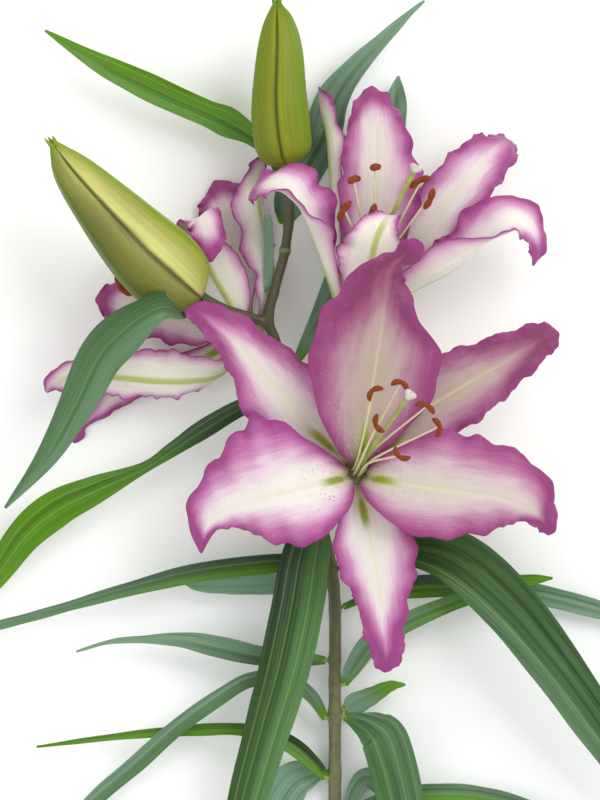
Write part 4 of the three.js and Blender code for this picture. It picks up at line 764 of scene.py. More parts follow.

# %% [markdown]
# ## What each leaf looks like
# No two leaves of the plant have the same colour. Young ones are lime green and old ones are deep
# green. Where a leaf stands edge-on to the light it turns blue-grey: partly the waxy bloom's own
# colour, partly a painted sheen for the light that the wax throws back. So each leaf has four
# amounts for each of these: at its foot on the left and right margin, and at its tip on the left
# and right margin. Pleats are grooves along the leaf: where they lie from the midrib (0) to a
# margin (1 or -1), how deep they are, and how wide, in millimetres. Ribs are the thin pale lines
# that run beside them.

# %% Colours, pleats and ribs of the leaves
LEAF_LOOKS = [
    {"wax_and_sheen": (0.35, 0.05, 0.4, 0.2), "deep": (0.1, 0.5, 0, 0.2), "pleats": [(0.05, 0.8, 1.1)],
     "ribs": [-0.03]},
    {"lime": (0.75, 1, 0.8, 1), "wax_and_sheen": (0.1, 0, 0.05, 0), "pleats": [(0.12, 0.9, 1.1)],
     "ribs": [-0.02, -0.55]},
    {"wax_and_sheen": (0.3, 0.5, 1, 0.9), "deep": (0.9, 0.8, 0, 0),
     "pleats": [(0, 0.9, 1.3), (0.5, 0.4, 1.3), (-0.5, 0.4, 1.3)], "ribs": [0.1]},
    {"wax_and_sheen": (0.8, 0.8, 0.8, 0.8), "deep": (0.6, 0.6, 0.1, 0.1), "pleats": [(0, 0.7, 1.1)]},
    {"wax_and_sheen": (1, 1, 1, 1), "pleats": [(0.3, 0.3, 0.7)]},
    {"lime": (0.1, 0, 1, 0.9), "wax_and_sheen": (0, 0.2, 0, 0), "deep": (0.9, 0.9, 0, 0),
     "pleats": [(-0.2, 0.9, 1.2), (0.45, 0.5, 1.1)], "ribs": [0.1, -0.45]},
    {"lime": (0.6, 0, 0.2, 0), "wax_and_sheen": (0, 0.1, 0.4, 0.6), "deep": (0.3, 1, 0.1, 0.6),
     "pleats": [(-0.6, 0.6, 1.1), (0.05, 0.8, 1.1)], "ribs": [-0.28]},
    {"wax_and_sheen": (0.9, 0.9, 1, 1), "pleats": [(0, 0.4, 1)]},
    {"wax_and_sheen": (0.2, 0.6, 0.8, 0.8), "deep": (0.6, 0.1, 0, 0), "pleats": [(0.3, 0.6, 1), (-0.4, 0.4, 1)],
     "ribs": [0.05]},
    {"wax_and_sheen": (0.15, 0.7, 0.2, 0.8), "deep": (0, 0.5, 0, 0.2), "pleats": [(-0.45, 0.7, 0.9), (0.15, 0.5, 0.8)],
     "ribs": [-0.1]},
    {"lime": (0.8, 0.1, 0.9, 0.5), "deep": (0, 0.9, 0, 0.2), "pleats": [(-0.25, 0.7, 0.8)], "ribs": [0.1]},
    {"lime": (0.1, 0, 0.25, 0.1), "wax_and_sheen": (0.1, 0, 0.2, 0), "deep": (0, 1, 0, 0.7),
     "pleats": [(-0.06, 1.1, 1.7), (0.5, 0.6, 1.3), (-0.72, 0.4, 1.1)], "ribs": [-0.6, -0.21, 0.38]},
    {"wax_and_sheen": (1, 1, 1, 1), "pleats": [(0, 0.5, 1.2), (0.5, 0.4, 1), (-0.5, 0.4, 1)],
     "ribs": [0.25, -0.25]},
    {"wax_and_sheen": (0.25, 0.1, 0.2, 0.1), "deep": (0.3, 0.2, 0.3, 0.2),
     "pleats": [(-0.06, 0.9, 1.4), (0.5, 0.6, 1.2), (-0.55, 0.6, 1.2)], "ribs": [0.25, -0.32, 0.75]},
    {"wax_and_sheen": (0.8, 0.9, 0.6, 0.6), "deep": (0, 0, 0.5, 0.3), "pleats": [(0.1, 0.7, 1.1), (-0.4, 0.4, 1)],
     "ribs": [-0.1, 0.5]},
    {"lime": (0, 0, 1, 1), "wax_and_sheen": (0.9, 0.9, 0, 0), "pleats": [(0, 0.4, 0.8)], "ribs": [0.4]},
    {"lime": (0, 0.5, 1, 1), "wax_and_sheen": (0.8, 0.4, 0, 0), "deep": (0.3, 0, 0, 0),
     "pleats": [(0, 0.6, 1), (0.5, 0.4, 1)], "ribs": [0.25, -0.4]},
    {"lime": (0.12, 0.1, 0, 0), "wax_and_sheen": (0, 0, 0.1, 0.3), "deep": (0.6, 0.5, 0.35, 0.2),
     "pleats": [(-0.1, 1.7, 2.1), (0.36, 1.5, 1.7), (-0.62, 0.6, 1.3), (0.78, 0.5, 1.3)], "ribs": [-0.36]},
    {"lime": (0, 0.9, 0, 0), "wax_and_sheen": (0.1, 0, 0.8, 0.7), "deep": (0.8, 0, 0.1, 0.1),
     "pleats": [(0.3, 0.7, 1), (-0.35, 0.6, 0.9)], "ribs": [-0.02]},
    {"lime": (0, 0.9, 0, 0.7), "wax_and_sheen": (0.4, 0, 0.4, 0), "deep": (0.6, 0, 0.4, 0),
     "pleats": [(0.25, 0.6, 0.9)], "ribs": [-0.05]},
]
print("pleats in all:", sum(len(look["pleats"]) for look in LEAF_LOOKS))

# %% [markdown]
# ## The material of a leaf
# A leaf is a living skin under a thin layer of wax. The wax gives a soft, satin shine, not a wet
# one. Veins run side by side from foot to tip, about 1.9 mm apart, with finer ones between them,
# and each of them is a slight ridge that catches the light. The underside has more wax and less
# green.

# %% Waxed leaf skin, upper face and underside
WAVE_PERIOD = 0.314      # in the wave texture's own units, from one band to the next


def leaf_skin(name, deep, green, lime, wax_and_sheen, rib, roughness, relief):
    material, tree, surface = new_material(name)
    age = add(tree, "ShaderNodeAttribute", attribute_name="age").outputs["Vector"]
    amounts = add(tree, "ShaderNodeSeparateXYZ", {0: age})
    drawn_lines = add(tree, "ShaderNodeAttribute", attribute_name="lines").outputs["Vector"]
    lines = add(tree, "ShaderNodeSeparateXYZ", {0: drawn_lines})
    millimetres = add(tree, "ShaderNodeAttribute", attribute_name="millimetres").outputs["Vector"]

    # main veins 1.9 mm apart, fine ones 0.6 mm apart, and streaks of colour 3 mm wide
    spaced = add(tree, "ShaderNodeVectorMath", {0: millimetres, 1: (WAVE_PERIOD / 1.9, 0.003, 0)},
                 operation="MULTIPLY").outputs[0]
    main = add(tree, "ShaderNodeTexWave", {"Vector": spaced, "Scale": 1.0, "Distortion": 0.6,
               "Detail": 1.0}, bands_direction="X").outputs["Fac"]
    drawn = add(tree, "ShaderNodeVectorMath", {0: millimetres, 1: (1 / 0.6, 1 / 45, 1)},
                operation="MULTIPLY").outputs[0]
    fine = add(tree, "ShaderNodeTexNoise", {"Vector": drawn, "Scale": 1.0, "Detail": 2.0}).outputs[0]
    wide = add(tree, "ShaderNodeVectorMath", {0: millimetres, 1: (1 / 3, 1 / 50, 1)},
               operation="MULTIPLY").outputs[0]
    streak = add(tree, "ShaderNodeTexNoise", {"Vector": wide, "Scale": 1.0, "Detail": 3.0}).outputs[0]

    # green to deep green, then lime, then the blue-grey over both: partly the wax's own colour, partly
    # painted sheen
    depth = add(tree, "ShaderNodeMath", {0: streak, 1: -0.25, 2: amounts.outputs["Z"]},
                operation="MULTIPLY_ADD").outputs[0]
    depth = add(tree, "ShaderNodeMapRange", {0: depth, 1: -0.2, 2: 0.8}).outputs[0]
    body = add(tree, "ShaderNodeMix", {0: depth, 6: linear(green), 7: linear(deep)},
               data_type="RGBA").outputs[2]
    limed = add(tree, "ShaderNodeMix", {0: amounts.outputs["X"], 6: body, 7: linear(lime)},
                data_type="RGBA").outputs[2]
    # painted sheen: where the leaf stands edge-on to the light, the blue-grey amount paints in the shine of
    # the wax
    wax = add(tree, "ShaderNodeMath", {0: streak, 1: 0.3, 2: amounts.outputs["Y"]},
              operation="MULTIPLY_ADD").outputs[0]
    wax = add(tree, "ShaderNodeMapRange", {0: wax, 1: 0.15, 2: 1.15}).outputs[0]
    waxed = add(tree, "ShaderNodeMix", {0: wax, 6: limed, 7: linear(wax_and_sheen)}, data_type="RGBA").outputs[2]
    vein = add(tree, "ShaderNodeMapRange", {0: main, 1: 0.55, 2: 1.0, 3: 0.0, 4: 0.06}).outputs[0]
    veined = add(tree, "ShaderNodeMix", {0: vein, 6: waxed, 7: linear(rib)}, data_type="RGBA").outputs[2]
    grain = add(tree, "ShaderNodeMapRange", {0: fine, 1: 0.3, 2: 0.7, 3: 0.86, 4: 1.12}).outputs[0]
    grained = add(tree, "ShaderNodeMix", {0: 1.0, 6: veined, 7: grain},
                  data_type="RGBA", blend_type="MULTIPLY").outputs[2]
    # painted shade: the bottom of a pleat is painted darker, and a rib is a pale line
    pleat_shade = add(tree, "ShaderNodeMath", {0: lines.outputs["Y"], 1: 0.35}, operation="MULTIPLY").outputs[0]
    shaded = add(tree, "ShaderNodeMix", {0: pleat_shade, 6: grained, 7: linear(deep)}, data_type="RGBA").outputs[2]
    pale = add(tree, "ShaderNodeMath", {0: lines.outputs["X"], 1: 0.32}, operation="MULTIPLY").outputs[0]
    colour = add(tree, "ShaderNodeMix", {0: pale, 6: shaded, 7: linear(rib)}, data_type="RGBA").outputs[2]

    ridges = add(tree, "ShaderNodeBump", {"Height": main, "Distance": relief, "Strength": 0.22})
    hair = add(tree, "ShaderNodeBump", {"Height": fine, "Distance": relief * 0.5, "Strength": 0.6,
               "Normal": ridges.outputs[0]})
    shine = add(tree, "ShaderNodeMapRange",
                {0: fine, 1: 0.2, 2: 0.8, 3: roughness - 0.07, 4: roughness + 0.08})
    fill(tree, surface, {
        "Base Color": colour, "Normal": hair.outputs[0], "Roughness": shine.outputs[0], "IOR": 1.4,
        "Specular IOR Level": 0.35, "Subsurface Weight": 0.06,
        "Subsurface Radius": (0.0005, 0.0011, 0.0003),
    })
    return material


leaf_upper = leaf_skin("waxed_leaf_upper", deep="#1A351C", green="#41692F", lime="#548600",
                       wax_and_sheen="#7B9B82", rib="#93AE66", roughness=0.42, relief=0.00022)
leaf_under = leaf_skin("waxed_leaf_underside", deep="#3E6047", green="#668C74", lime="#7C9F56",
                       wax_and_sheen="#86AA9C", rib="#AFC498", roughness=0.55, relief=0.0003)
print("leaf materials:", leaf_upper.name, leaf_under.name)

# %% [markdown]
# ## Pleats, ribs and ages of a leaf
# The pleats are in the mesh and not just painted, so that they show along the outline and in the
# shadows from every side, and the bottom of each pleat gets a painted shade as well. They set in
# a little above the foot and run out before the tip. The amounts of lime, blue-grey and deep green
# are spread from the four corners of the leaf over its whole face, and the foot is always young and pale.

# %% Lines and colours of a leaf
RIB_WIDTH = 0.34      # mm


def pressed_lines(look, from_rib, a, half):
    """Pleats and ribs, and how strongly the leaf is pressed into shape at each point."""
    pressed = smoothstep(0.02, 0.16, a) * (1 - smoothstep(0.8, 0.99, a)) * np.minimum(1, half / 6)
    pleats, ribs = np.zeros(from_rib.shape), np.zeros(from_rib.shape)
    for place, depth, width in look["pleats"]:
        pleats = pleats + depth * bump(from_rib, place * half, width)
    for place in look.get("ribs", []):
        ribs = ribs + bump(from_rib, place * half, RIB_WIDTH)
    return pleats * pressed, ribs * pressed, pressed


def leaf_age(look, shape, a, across):
    to_left, to_tip = smoothstep(-0.6, 0.6, across)[None, :], smoothstep(0.25, 0.75, a)

    def spread(key):
        foot_left, foot_right, tip_left, tip_right = look.get(key, (0, 0, 0, 0))
        foot = foot_right + (foot_left - foot_right) * to_left
        tip = tip_right + (tip_left - tip_right) * to_left
        return foot + (tip - foot) * to_tip

    young_foot = 1 - smoothstep(0.02, 0.09, a)
    lime = np.maximum(spread("lime"), 0.8 * young_foot)
    return layers(shape, lime, spread("wax_and_sheen") * (1 - young_foot), spread("deep"))


print("width of a rib in millimetres:", RIB_WIDTH)

# %% [markdown]
# ## Making the leaves
# A leaf is a sheet like a tepal, but calmer: a slight cup, low waves, and the pleats pressed into
# it from foot to tip. The underside has a low keel under the midrib.

# %% The twenty leaves
LEAF_WAVES = {"height": 1.2, "count": 2, "from": 0.3, "width": 0.0}
LEAF_PHASE = 0.8
LEAF_CUP = 24          # degrees
LEAF_STEPS = 111
NARROW_LEAF = 7.0      # mm of half-width; narrower leaves get half the columns
WIDE_COLUMNS, NARROW_COLUMNS = 65, 33
LEAF_MIDDLE, LEAF_MARGIN = 0.9, 0.45      # mm of thickness
LEAF_FOLD = 0.12       # how steeply the two halves rise from the midrib
RIB_HEIGHT, LEAF_RIPPLE, LEAF_KEEL = 0.25, 0.25, 0.5      # mm
LEAF_RIPPLES = 6.5     # from foot to tip


def leaf(number, rows, look):
    sheet = {"rows": [row[:5] + [LEAF_CUP, 0] for row in rows]}
    widest = max(max(row[3:5]) for row in rows)
    along = np.linspace(0, 1, LEAF_STEPS)
    across = np.linspace(1, -1, WIDE_COLUMNS if widest > NARROW_LEAF else NARROW_COLUMNS)
    phase = LEAF_PHASE * (number - 1)
    points, normals, from_rib, fade = sheet_surface(sheet, along, across, LEAF_WAVES, phase)

    a, reach = along[:, None], np.abs(across)[None, :]
    half = np.maximum(np.abs(from_rib[:, :1]), np.abs(from_rib[:, -1:]))
    pleats, ribs, pressed = pressed_lines(look, from_rib, a, half)
    fold = LEAF_FOLD * (np.abs(from_rib) - half / 2) * pressed
    ripples = LEAF_RIPPLE * ripple(LEAF_RIPPLES, a, number) * np.clip((reach - 0.7) / 0.3, 0, 1) * fade
    points = points + normals * (RIB_HEIGHT * ribs - pleats + fold + ripples)[..., None]
    thickness = LEAF_MIDDLE + (LEAF_MARGIN - LEAF_MIDDLE) * reach
    thickness = thickness * np.minimum(1, 0.45 + half / 5)
    keel = LEAF_KEEL * bump(from_rib, 0, 0.9) * pressed
    upper = points + normals * (thickness / 2)[..., None]
    lower = points - normals * (thickness / 2 + keel)[..., None]

    shape = from_rib.shape
    length = length_along(points[:, len(across) // 2])
    own_pattern = 13.0 * number
    attributes = {
        "age": leaf_age(look, shape, a, across),
        "lines": layers(shape, np.minimum(1, ribs), np.minimum(1, pleats), 0),
        "millimetres": layers(shape, from_rib, length, own_pattern),
    }
    uv = layers(shape, (1 - across[None, :]) / 2, a)
    piece = close_sheet(f"leaf_{number}_blade", upper, lower, uv, attributes, [leaf_upper, leaf_under])
    hand_over(piece, "leaf", f"leaf_{number}")


for number, (rows, look) in enumerate(zip(LEAVES, LEAF_LOOKS), start=1):
    leaf(number, rows, look)
print("leaves:", len(LEAVES))

# %% [markdown]
# ## The buds
# A closed bud is three sepals that meet edge to edge. Each has a broad green back with a rib on
# it, and paler flanks that turn down into the seam. So the bud's section is a soft triangle with
# three grooves, and its tip ends in three little points. Carving those grooves by hand would not
# keep them even, so each ring of the mesh is calculated from the angle round the bud. One seam
# faces the camera in both buds.

# %% Path and thickness of the two buds
BUDS = {
    "left": {
        "path": [[-50.2, 51.2, 43], [-56, 55.5, 45], [-66, 64, 48], [-80, 77, 52], [-97, 95.4, 56],
                 [-114, 114.8, 59], [-124, 129, 61]],
        "radius": [[0, 4], [0.05, 8.5], [0.12, 13.5], [0.24, 18.6], [0.38, 20.6], [0.52, 19],
                   [0.68, 15], [0.82, 10.4], [0.93, 5.4], [1, 1.4]],
    },
    "top": {
        "path": [[-5.9, 117.2, 32.4], [-7.4, 124, 33], [-9.2, 136, 34.5], [-10.2, 152.5, 36],
                 [-10, 175.5, 37], [-10.5, 190, 37.5], [-11.5, 200, 38]],
        "radius": [[0, 4], [0.06, 8.5], [0.13, 12], [0.24, 14.2], [0.42, 14.3], [0.58, 12.6],
                   [0.7, 10.6], [0.82, 7.8], [0.93, 4], [1, 1.1]],
    },
}
BUD_RINGS, BUD_SIDES = 150, 180
POINT_RINGS, POINT_SIDES = 12, 12
SEAM_DEPTH, SEAM_WIDTH = 1.3, 0.065       # mm, radians
SEAM_TURN = {"left": 0.05, "top": -0.16}  # radians that the seam is turned away from the camera
# painted shade on the sepal beyond the first seam, which turns away from the light
SHADED_SEPAL = {"left": 1.0, "top": 0.15}    # how much duller the sepal beyond the seam is
SHADED_SEPAL_WIDTH = 2.3                          # radians, a little more than that sepal's third
THIRD = 2 * np.pi / 3                     # radians from seam to seam
print("buds and their measured rings:", {name: len(table["radius"]) for name, table in BUDS.items()})

# %% [markdown]
# Bud skin is leaf skin stretched thin: waxed, satin, and finely ribbed along its length, about one
# rib per millimetre. The colour is tied to the angle from the nearest seam and to the place along
# the bud, both kept in the mesh.

# %% Waxed bud skin
def bud_skin(name, warm, flank, face, shoulder, back, foot):
    material, tree, surface = new_material(name)
    place = add(tree, "ShaderNodeAttribute", attribute_name="place").outputs["Vector"]
    axes = add(tree, "ShaderNodeSeparateXYZ", {0: place})
    from_seam, along, shaded_sepal_share = axes.outputs["X"], axes.outputs["Y"], axes.outputs["Z"]
    millimetres = add(tree, "ShaderNodeAttribute", attribute_name="millimetres").outputs["Vector"]
    # ribs about 1 mm apart, and clouds of colour about 5 mm wide
    drawn = add(tree, "ShaderNodeVectorMath", {0: millimetres, 1: (1, 1 / 40, 1)},
                operation="MULTIPLY").outputs[0]
    ribs = add(tree, "ShaderNodeTexNoise", {"Vector": drawn, "Scale": 1.0, "Detail": 2.0}).outputs[0]
    wide = add(tree, "ShaderNodeVectorMath", {0: millimetres, 1: (1 / 5, 1 / 30, 1)},
               operation="MULTIPLY").outputs[0]
    cloud = add(tree, "ShaderNodeTexNoise", {"Vector": wide, "Scale": 1.0, "Detail": 3.0}).outputs[0]

    ragged = add(tree, "ShaderNodeMath", {0: cloud, 1: 0.26, 2: from_seam},
                 operation="MULTIPLY_ADD").outputs[0]
    stops = [(0.13, warm), (0.27, flank), (0.5, face), (0.82, shoulder), (0.98, back)]
    across = add(tree, "ShaderNodeValToRGB", {0: ragged}, stops=stops).outputs[0]
    worn = add(tree, "ShaderNodeMath", {0: cloud, 1: 0.35, 2: along}, operation="MULTIPLY_ADD").outputs[0]
    low = add(tree, "ShaderNodeMapRange", {0: worn, 1: 0.2, 2: 0.55, 3: 0.65, 4: 0.0}).outputs[0]
    footed = add(tree, "ShaderNodeMix", {0: low, 6: across, 7: linear(foot)}, data_type="RGBA").outputs[2]
    high = add(tree, "ShaderNodeMapRange", {0: along, 1: 0.8, 2: 1.0, 3: 0.0, 4: 0.7}).outputs[0]
    tipped = add(tree, "ShaderNodeMix", {0: high, 6: footed, 7: linear(back)}, data_type="RGBA").outputs[2]
    seam = add(tree, "ShaderNodeMapRange", {0: from_seam, 1: 0.015, 2: 0.06, 3: 0.85, 4: 0.0}).outputs[0]
    seamed = add(tree, "ShaderNodeMix", {0: seam, 6: tipped, 7: linear("#4A4A14")},
                 data_type="RGBA").outputs[2]
    grain = add(tree, "ShaderNodeMapRange", {0: ribs, 1: 0.3, 2: 0.7, 3: 0.92, 4: 1.07}).outputs[0]
    grained = add(tree, "ShaderNodeMix", {0: 1.0, 6: seamed, 7: grain},
                  data_type="RGBA", blend_type="MULTIPLY").outputs[2]
    # painted shade: the sepal on the side away from the stronger soft box is painted a duller, darker green
    colour = add(tree, "ShaderNodeMix", {0: shaded_sepal_share, 6: grained, 7: linear("#AEB194")},
                 data_type="RGBA", blend_type="MULTIPLY").outputs[2]
    relief = add(tree, "ShaderNodeBump", {"Height": ribs, "Distance": 0.0002, "Strength": 0.7})
    fill(tree, surface, {
        "Base Color": colour, "Normal": relief.outputs[0], "Roughness": 0.42, "IOR": 1.4,
        "Specular IOR Level": 0.4, "Subsurface Weight": 0.1,
        "Subsurface Radius": (0.0012, 0.0018, 0.0006),
    })
    return material


bud_materials = {
    "left": bud_skin("waxed_bud_skin_large", warm="#8C8740", flank="#C9C778", face="#ADAB5A",
                     shoulder="#94973C", back="#76901C", foot="#8A8E40"),
    "top": bud_skin("waxed_bud_skin_small", warm="#6A7010", flank="#808A12", face="#757F10",
                    shoulder="#71810C", back="#628200", foot="#807C28"),
}
print("bud materials:", [m.name for m in bud_materials.values()])

# %% [markdown]
# ## Rings round a line
# Buds, anthers and stigmas are lofted: rings of points are laid round a line and joined. A ring's
# "up" is the direction towards the camera that is square to the line, so the angle zero, where the
# first seam of a bud is, faces up along the whole bud. A fan round a pole closes each end.

# %% Lofting rings
def tube_frames(path, shares):
    """Centre and tangent of the line, and the two directions square to it, at each share."""
    centre, tangent = path(shares), direction_along(path, shares)
    first = unit(UP - tangent * (tangent @ UP)[:, None])
    return centre, tangent, first, np.cross(tangent, first)


def ring_faces(rings, sides):
    index = np.arange(rings * sides).reshape(rings, sides)
    after = np.roll(index, -1, axis=1)
    return np.stack([index[:-1], after[:-1], after[1:], index[1:]], -1).reshape(-1, 4).tolist()


def closed_loft(rings, first_pole, last_pole):
    """Points and faces of rings that are joined and closed by a fan round a pole at each end."""
    count, sides = rings.shape[:2]
    points = list(rings.reshape(-1, 3)) + [first_pole, last_pole]
    faces, last = ring_faces(count, sides), (count - 1) * sides
    for k in range(sides):
        beside = (k + 1) % sides
        faces.append((count * sides, beside, k))
        faces.append((count * sides + 1, last + k, last + beside))
    return points, faces


print("faces between three rings of four points:", len(ring_faces(3, 4)))

# %% [markdown]
# ## Making the buds
# The seams are grooves with raised shoulders, and each sepal has a keel, a shallow groove beside
# it and fine ribs. Towards the tip the seams open, and the three sepals end in free points. The
# colour needs three things from here: how far the nearest seam is, how far up the bud the point
# lies, and how much painted shade it gets on the sepal that turns away from the light.

# %% The two buds
def bud_surface(name, s, turn, radius):
    """Distance of the skin from the bud's line, and the angle from the nearest seam."""
    from_first = turn - SEAM_TURN[name]
    nearest = np.abs((from_first + THIRD / 2) % THIRD - THIRD / 2)
    body = smoothstep(0.02, 0.16, s)
    seam = bump(nearest, 0, SEAM_WIDTH * (0.7 + 0.5 * s)) * SEAM_DEPTH * body * np.minimum(1, radius / 8)
    shoulders = bump(nearest, 0.28, 0.17) * 0.3 * body * np.minimum(1, radius / 10)
    keel = bump(nearest, THIRD / 2, 0.1) * 0.4 * body
    groove = bump(nearest, 0.72, 0.05) * 0.3 * body
    fine_ribs = 0.06 * np.cos(39 * turn) * body
    three_sided = radius * (1 - 0.035 * np.cos(3 * from_first) * body)
    skin = three_sided - seam + shoulders + keel - groove + fine_ribs
    # towards the tip the seams open, and three points are left
    opened = smoothstep(0.9, 1.0, s) * (1 - smoothstep(0.3, 0.8, nearest)) * 0.75
    return np.maximum(skin * (1 - opened), 0.25), nearest


# painted shade: the sepal that turns away from the light is darkened, less towards the tip
def painted_bud_shade(name, s, turn):
    beyond_seam = (SEAM_TURN[name] - turn) % (2 * np.pi)
    on_shaded_sepal = smoothstep(0, 0.05, beyond_seam) * (beyond_seam < SHADED_SEPAL_WIDTH)
    return SHADED_SEPAL[name] * on_shaded_sepal * (1 - 0.6 * smoothstep(0.6, 1, s))


def bud(name, table):
    path, knots = through(table["path"]), through(table["radius"])(np.linspace(0, 1, 400))
    shares = 1 - np.linspace(1, 0, BUD_RINGS) ** 1.15      # rings lie closer towards the tip
    centre, tangent, first, second = tube_frames(path, shares)
    s, radius = shares[:, None], np.interp(shares, knots[:, 0], knots[:, 1])[:, None]
    turn = np.linspace(0, 2 * np.pi, BUD_SIDES, endpoint=False)[None, :]
    skin, nearest = bud_surface(name, s, turn, radius)
    rings = centre[:, None] + first[:, None] * (np.cos(turn) * skin)[..., None]
    rings = rings + second[:, None] * (np.sin(turn) * skin)[..., None]
    points, faces = closed_loft(rings, centre[0], centre[-1] - tangent[-1] * 1.2)

    shape, poles = skin.shape, [[0.5, 0, 0], [0.5, 1, 0]]
    seam_share = 0.87 * nearest / (THIRD / 2)
    place = layers(shape, seam_share, s, painted_bud_shade(name, s, turn))
    # round the bud the pattern runs up to the keel and back, so it has no step where it closes
    round_mm = np.where(turn < np.pi, turn, 2 * np.pi - turn) * radius.max()
    millimetres = layers(shape, round_mm, length_along(centre), 5.0 * len(name))
    attributes = {"place": np.concatenate([place, poles]),
                  "millimetres": np.concatenate([millimetres, poles])}
    uv = np.concatenate([layers(shape, turn / (2 * np.pi), s), [[0.5, 0], [0.5, 1]]])
    piece = make_piece(f"{name}_bud_skin", points, faces, [bud_materials[name]], uv=uv,
                       attributes=attributes)
    hand_over(piece, "bud", f"{name}_bud")
    sepal_points(name, centre[-1], tangent[-1], first[-1], second[-1])


def sepal_points(name, end, lead, first, second):
    """The free points of the three sepals at the tip, bent slightly outwards."""
    points, faces = [], []
    steps = np.linspace(0, 1, POINT_RINGS)
    ring = np.linspace(0, 2 * np.pi, POINT_SIDES, endpoint=False)[None, :, None]
    for k in range(3):
        angle = SEAM_TURN[name] + THIRD / 2 + k * THIRD
        out = first * np.cos(angle) + second * np.sin(angle)
        root = end - lead * 3 + out * 0.9
        tip = root + lead * (5.2 + 0.7 * k) + out * 1.5
        c, t, f, g = tube_frames(through([root, root + lead * 3 + out * 0.9, tip]), steps)
        r = (1.35 * (1 - steps) ** 0.7 + 0.12)[:, None, None]
        rings = c[:, None] + r * (f[:, None] * np.cos(ring) + g[:, None] * np.sin(ring))
        horn, horn_faces = closed_loft(rings, c[0], c[-1] + t[-1] * 0.3)
        faces.extend(tuple(i + len(points) for i in face) for face in horn_faces)
        points.extend(horn)
    attributes = {"place": np.tile([0.9, 0.95, 0.0], (len(points), 1)), "millimetres": np.array(points)}
    piece = make_piece(f"{name}_bud_sepal_points", points, faces, [bud_materials[name]],
                       attributes=attributes)
    hand_over(piece, "bud", f"{name}_bud")


for name, table in BUDS.items():
    bud(name, table)
print("buds:", list(BUDS))

# %% [markdown]
# ## A Geometry Nodes tree for stalks
# Stem, flower stalks, filaments and styles are all round cords that get thinner along a line. The
# tree takes a mesh that is only a line, with the wanted radius kept at each point as an attribute
# named thickness, and sweeps a circle along it. Its named inputs are the number of sides and the
# material.

# %% The stalk tree
def stalk_tree():
    tree = bpy.data.node_groups.new("stalk_along_line", "GeometryNodeTree")
    face = tree.interface
    face.new_socket("Line", in_out="INPUT", socket_type="NodeSocketGeometry")
    face.new_socket("Sides", in_out="INPUT", socket_type="NodeSocketInt").default_value = 12
    face.new_socket("Skin", in_out="INPUT", socket_type="NodeSocketMaterial")
    face.new_socket("Stalk", in_out="OUTPUT", socket_type="NodeSocketGeometry")
    given = add(tree, "NodeGroupInput").outputs
    line = add(tree, "GeometryNodeMeshToCurve", {"Mesh": given["Line"]}).outputs[0]
    thickness = add(tree, "GeometryNodeInputNamedAttribute", {"Name": "thickness"},
                    data_type="FLOAT").outputs[0]
    ring = add(tree, "GeometryNodeCurvePrimitiveCircle",
               {"Resolution": given["Sides"], "Radius": 1.0}).outputs[0]
    swept = add(tree, "GeometryNodeCurveToMesh", {"Curve": line, "Profile Curve": ring, "Scale": thickness,
                "Fill Caps": True}).outputs[0]
    smooth = add(tree, "GeometryNodeSetShadeSmooth", {"Geometry": swept}).outputs[0]
    real = add(tree, "GeometryNodeRealizeInstances", {"Geometry": smooth}).outputs[0]
    skinned = add(tree, "GeometryNodeSetMaterial", {"Geometry": real, "Material": given["Skin"]}).outputs[0]
    add(tree, "NodeGroupOutput", {"Stalk": skinned})
    return tree


def run_tree(name, source_mesh, tree, inputs):
    """Runs a tree on a mesh with the inputs given by name, and returns a plain mesh."""
    holder = bpy.data.objects.new(name + "_holder", source_mesh)
    scene.collection.objects.link(holder)
    modifier = holder.modifiers.new("tree", "NODES")
    modifier.node_group = tree
    for socket in tree.interface.items_tree:
        if socket.in_out == "INPUT" and socket.name in inputs:
            modifier[socket.identifier] = inputs[socket.name]
    ready = holder.evaluated_get(bpy.context.evaluated_depsgraph_get())
    mesh = bpy.data.meshes.new_from_object(ready)
    mesh.name = name
    bpy.data.objects.remove(holder)
    return mesh


def place_mesh(mesh):
    piece = bpy.data.objects.new(mesh.name, mesh)
    scene.collection.objects.link(piece)
    return piece


def line_mesh(name, lines):
    """Each line is (points in mm, radius in mm at each point)."""
    mesh = bpy.data.meshes.new(name + "_lines")
    points, edges, radii = [], [], []
    for path, radius in lines:
        first = len(points)
        points.extend(((np.asarray(path) + PLAN_SHIFT) * MM).tolist())
        edges.extend((first + i, first + i + 1) for i in range(len(path) - 1))
        radii.extend(np.broadcast_to(np.asarray(radius, float) * MM, len(path)))
    mesh.from_pydata(points, edges, [])
    mesh.attributes.new("thickness", "FLOAT", "POINT").data.foreach_set("value", radii)
    return mesh


STALK = stalk_tree()
print("stalk tree inputs:", [s.name for s in STALK.interface.items_tree if s.in_out == "INPUT"])

# %% [markdown]
# ## The stem
# The stem carries everything. It thickens a little where a leaf or a flower stalk leaves it, and
# has a ring-shaped joint under the upper bloom. Its limbs are swept one by one and then grown
# together: a voxel remesh at 0.55 mm melts the overlapping tubes into one skin, as plant tissue
# does, with no edge where two limbs meet.

# %% Lines of the stem, its branches and the leaf feet
STEM_PATH = [[17.5, -335, 2.7], [17.5, -260, 6], [17.5, -200, 8], [17.5, -150, 11], [17, -95, 15],
             [10, -60, 18], [0, -25, 21], [-7.5, 12, 24], [-12.5, 30, 26], [-16, 41, 27],
             [-11.5, 60, 28], [-7.5, 75, 29], [-5, 97.5, 30], [-6, 115.8, 32]]
JOINT_X, JOINT_Y = -7.5, 75.0   # the ring-shaped joint
BRANCHES = {
    "front": [[11, -62, 17.8], [20, -54, 22], [27, -42, 29]],
    "right": [[-7.5, 12, 24], [6, 17, 19.5], [18, 27, 18]],
    "left": [[-8.5, 17, 24], [-9, 20.5, 18]],
}
BUD_BRANCH = [[-15.5, 38, 27], [-24, 41.5, 30], [-38, 45.5, 37], [-50, 51, 43]]
STEM_RADIUS = (3.4, 2.3)      # mm at the cut and at the top bud
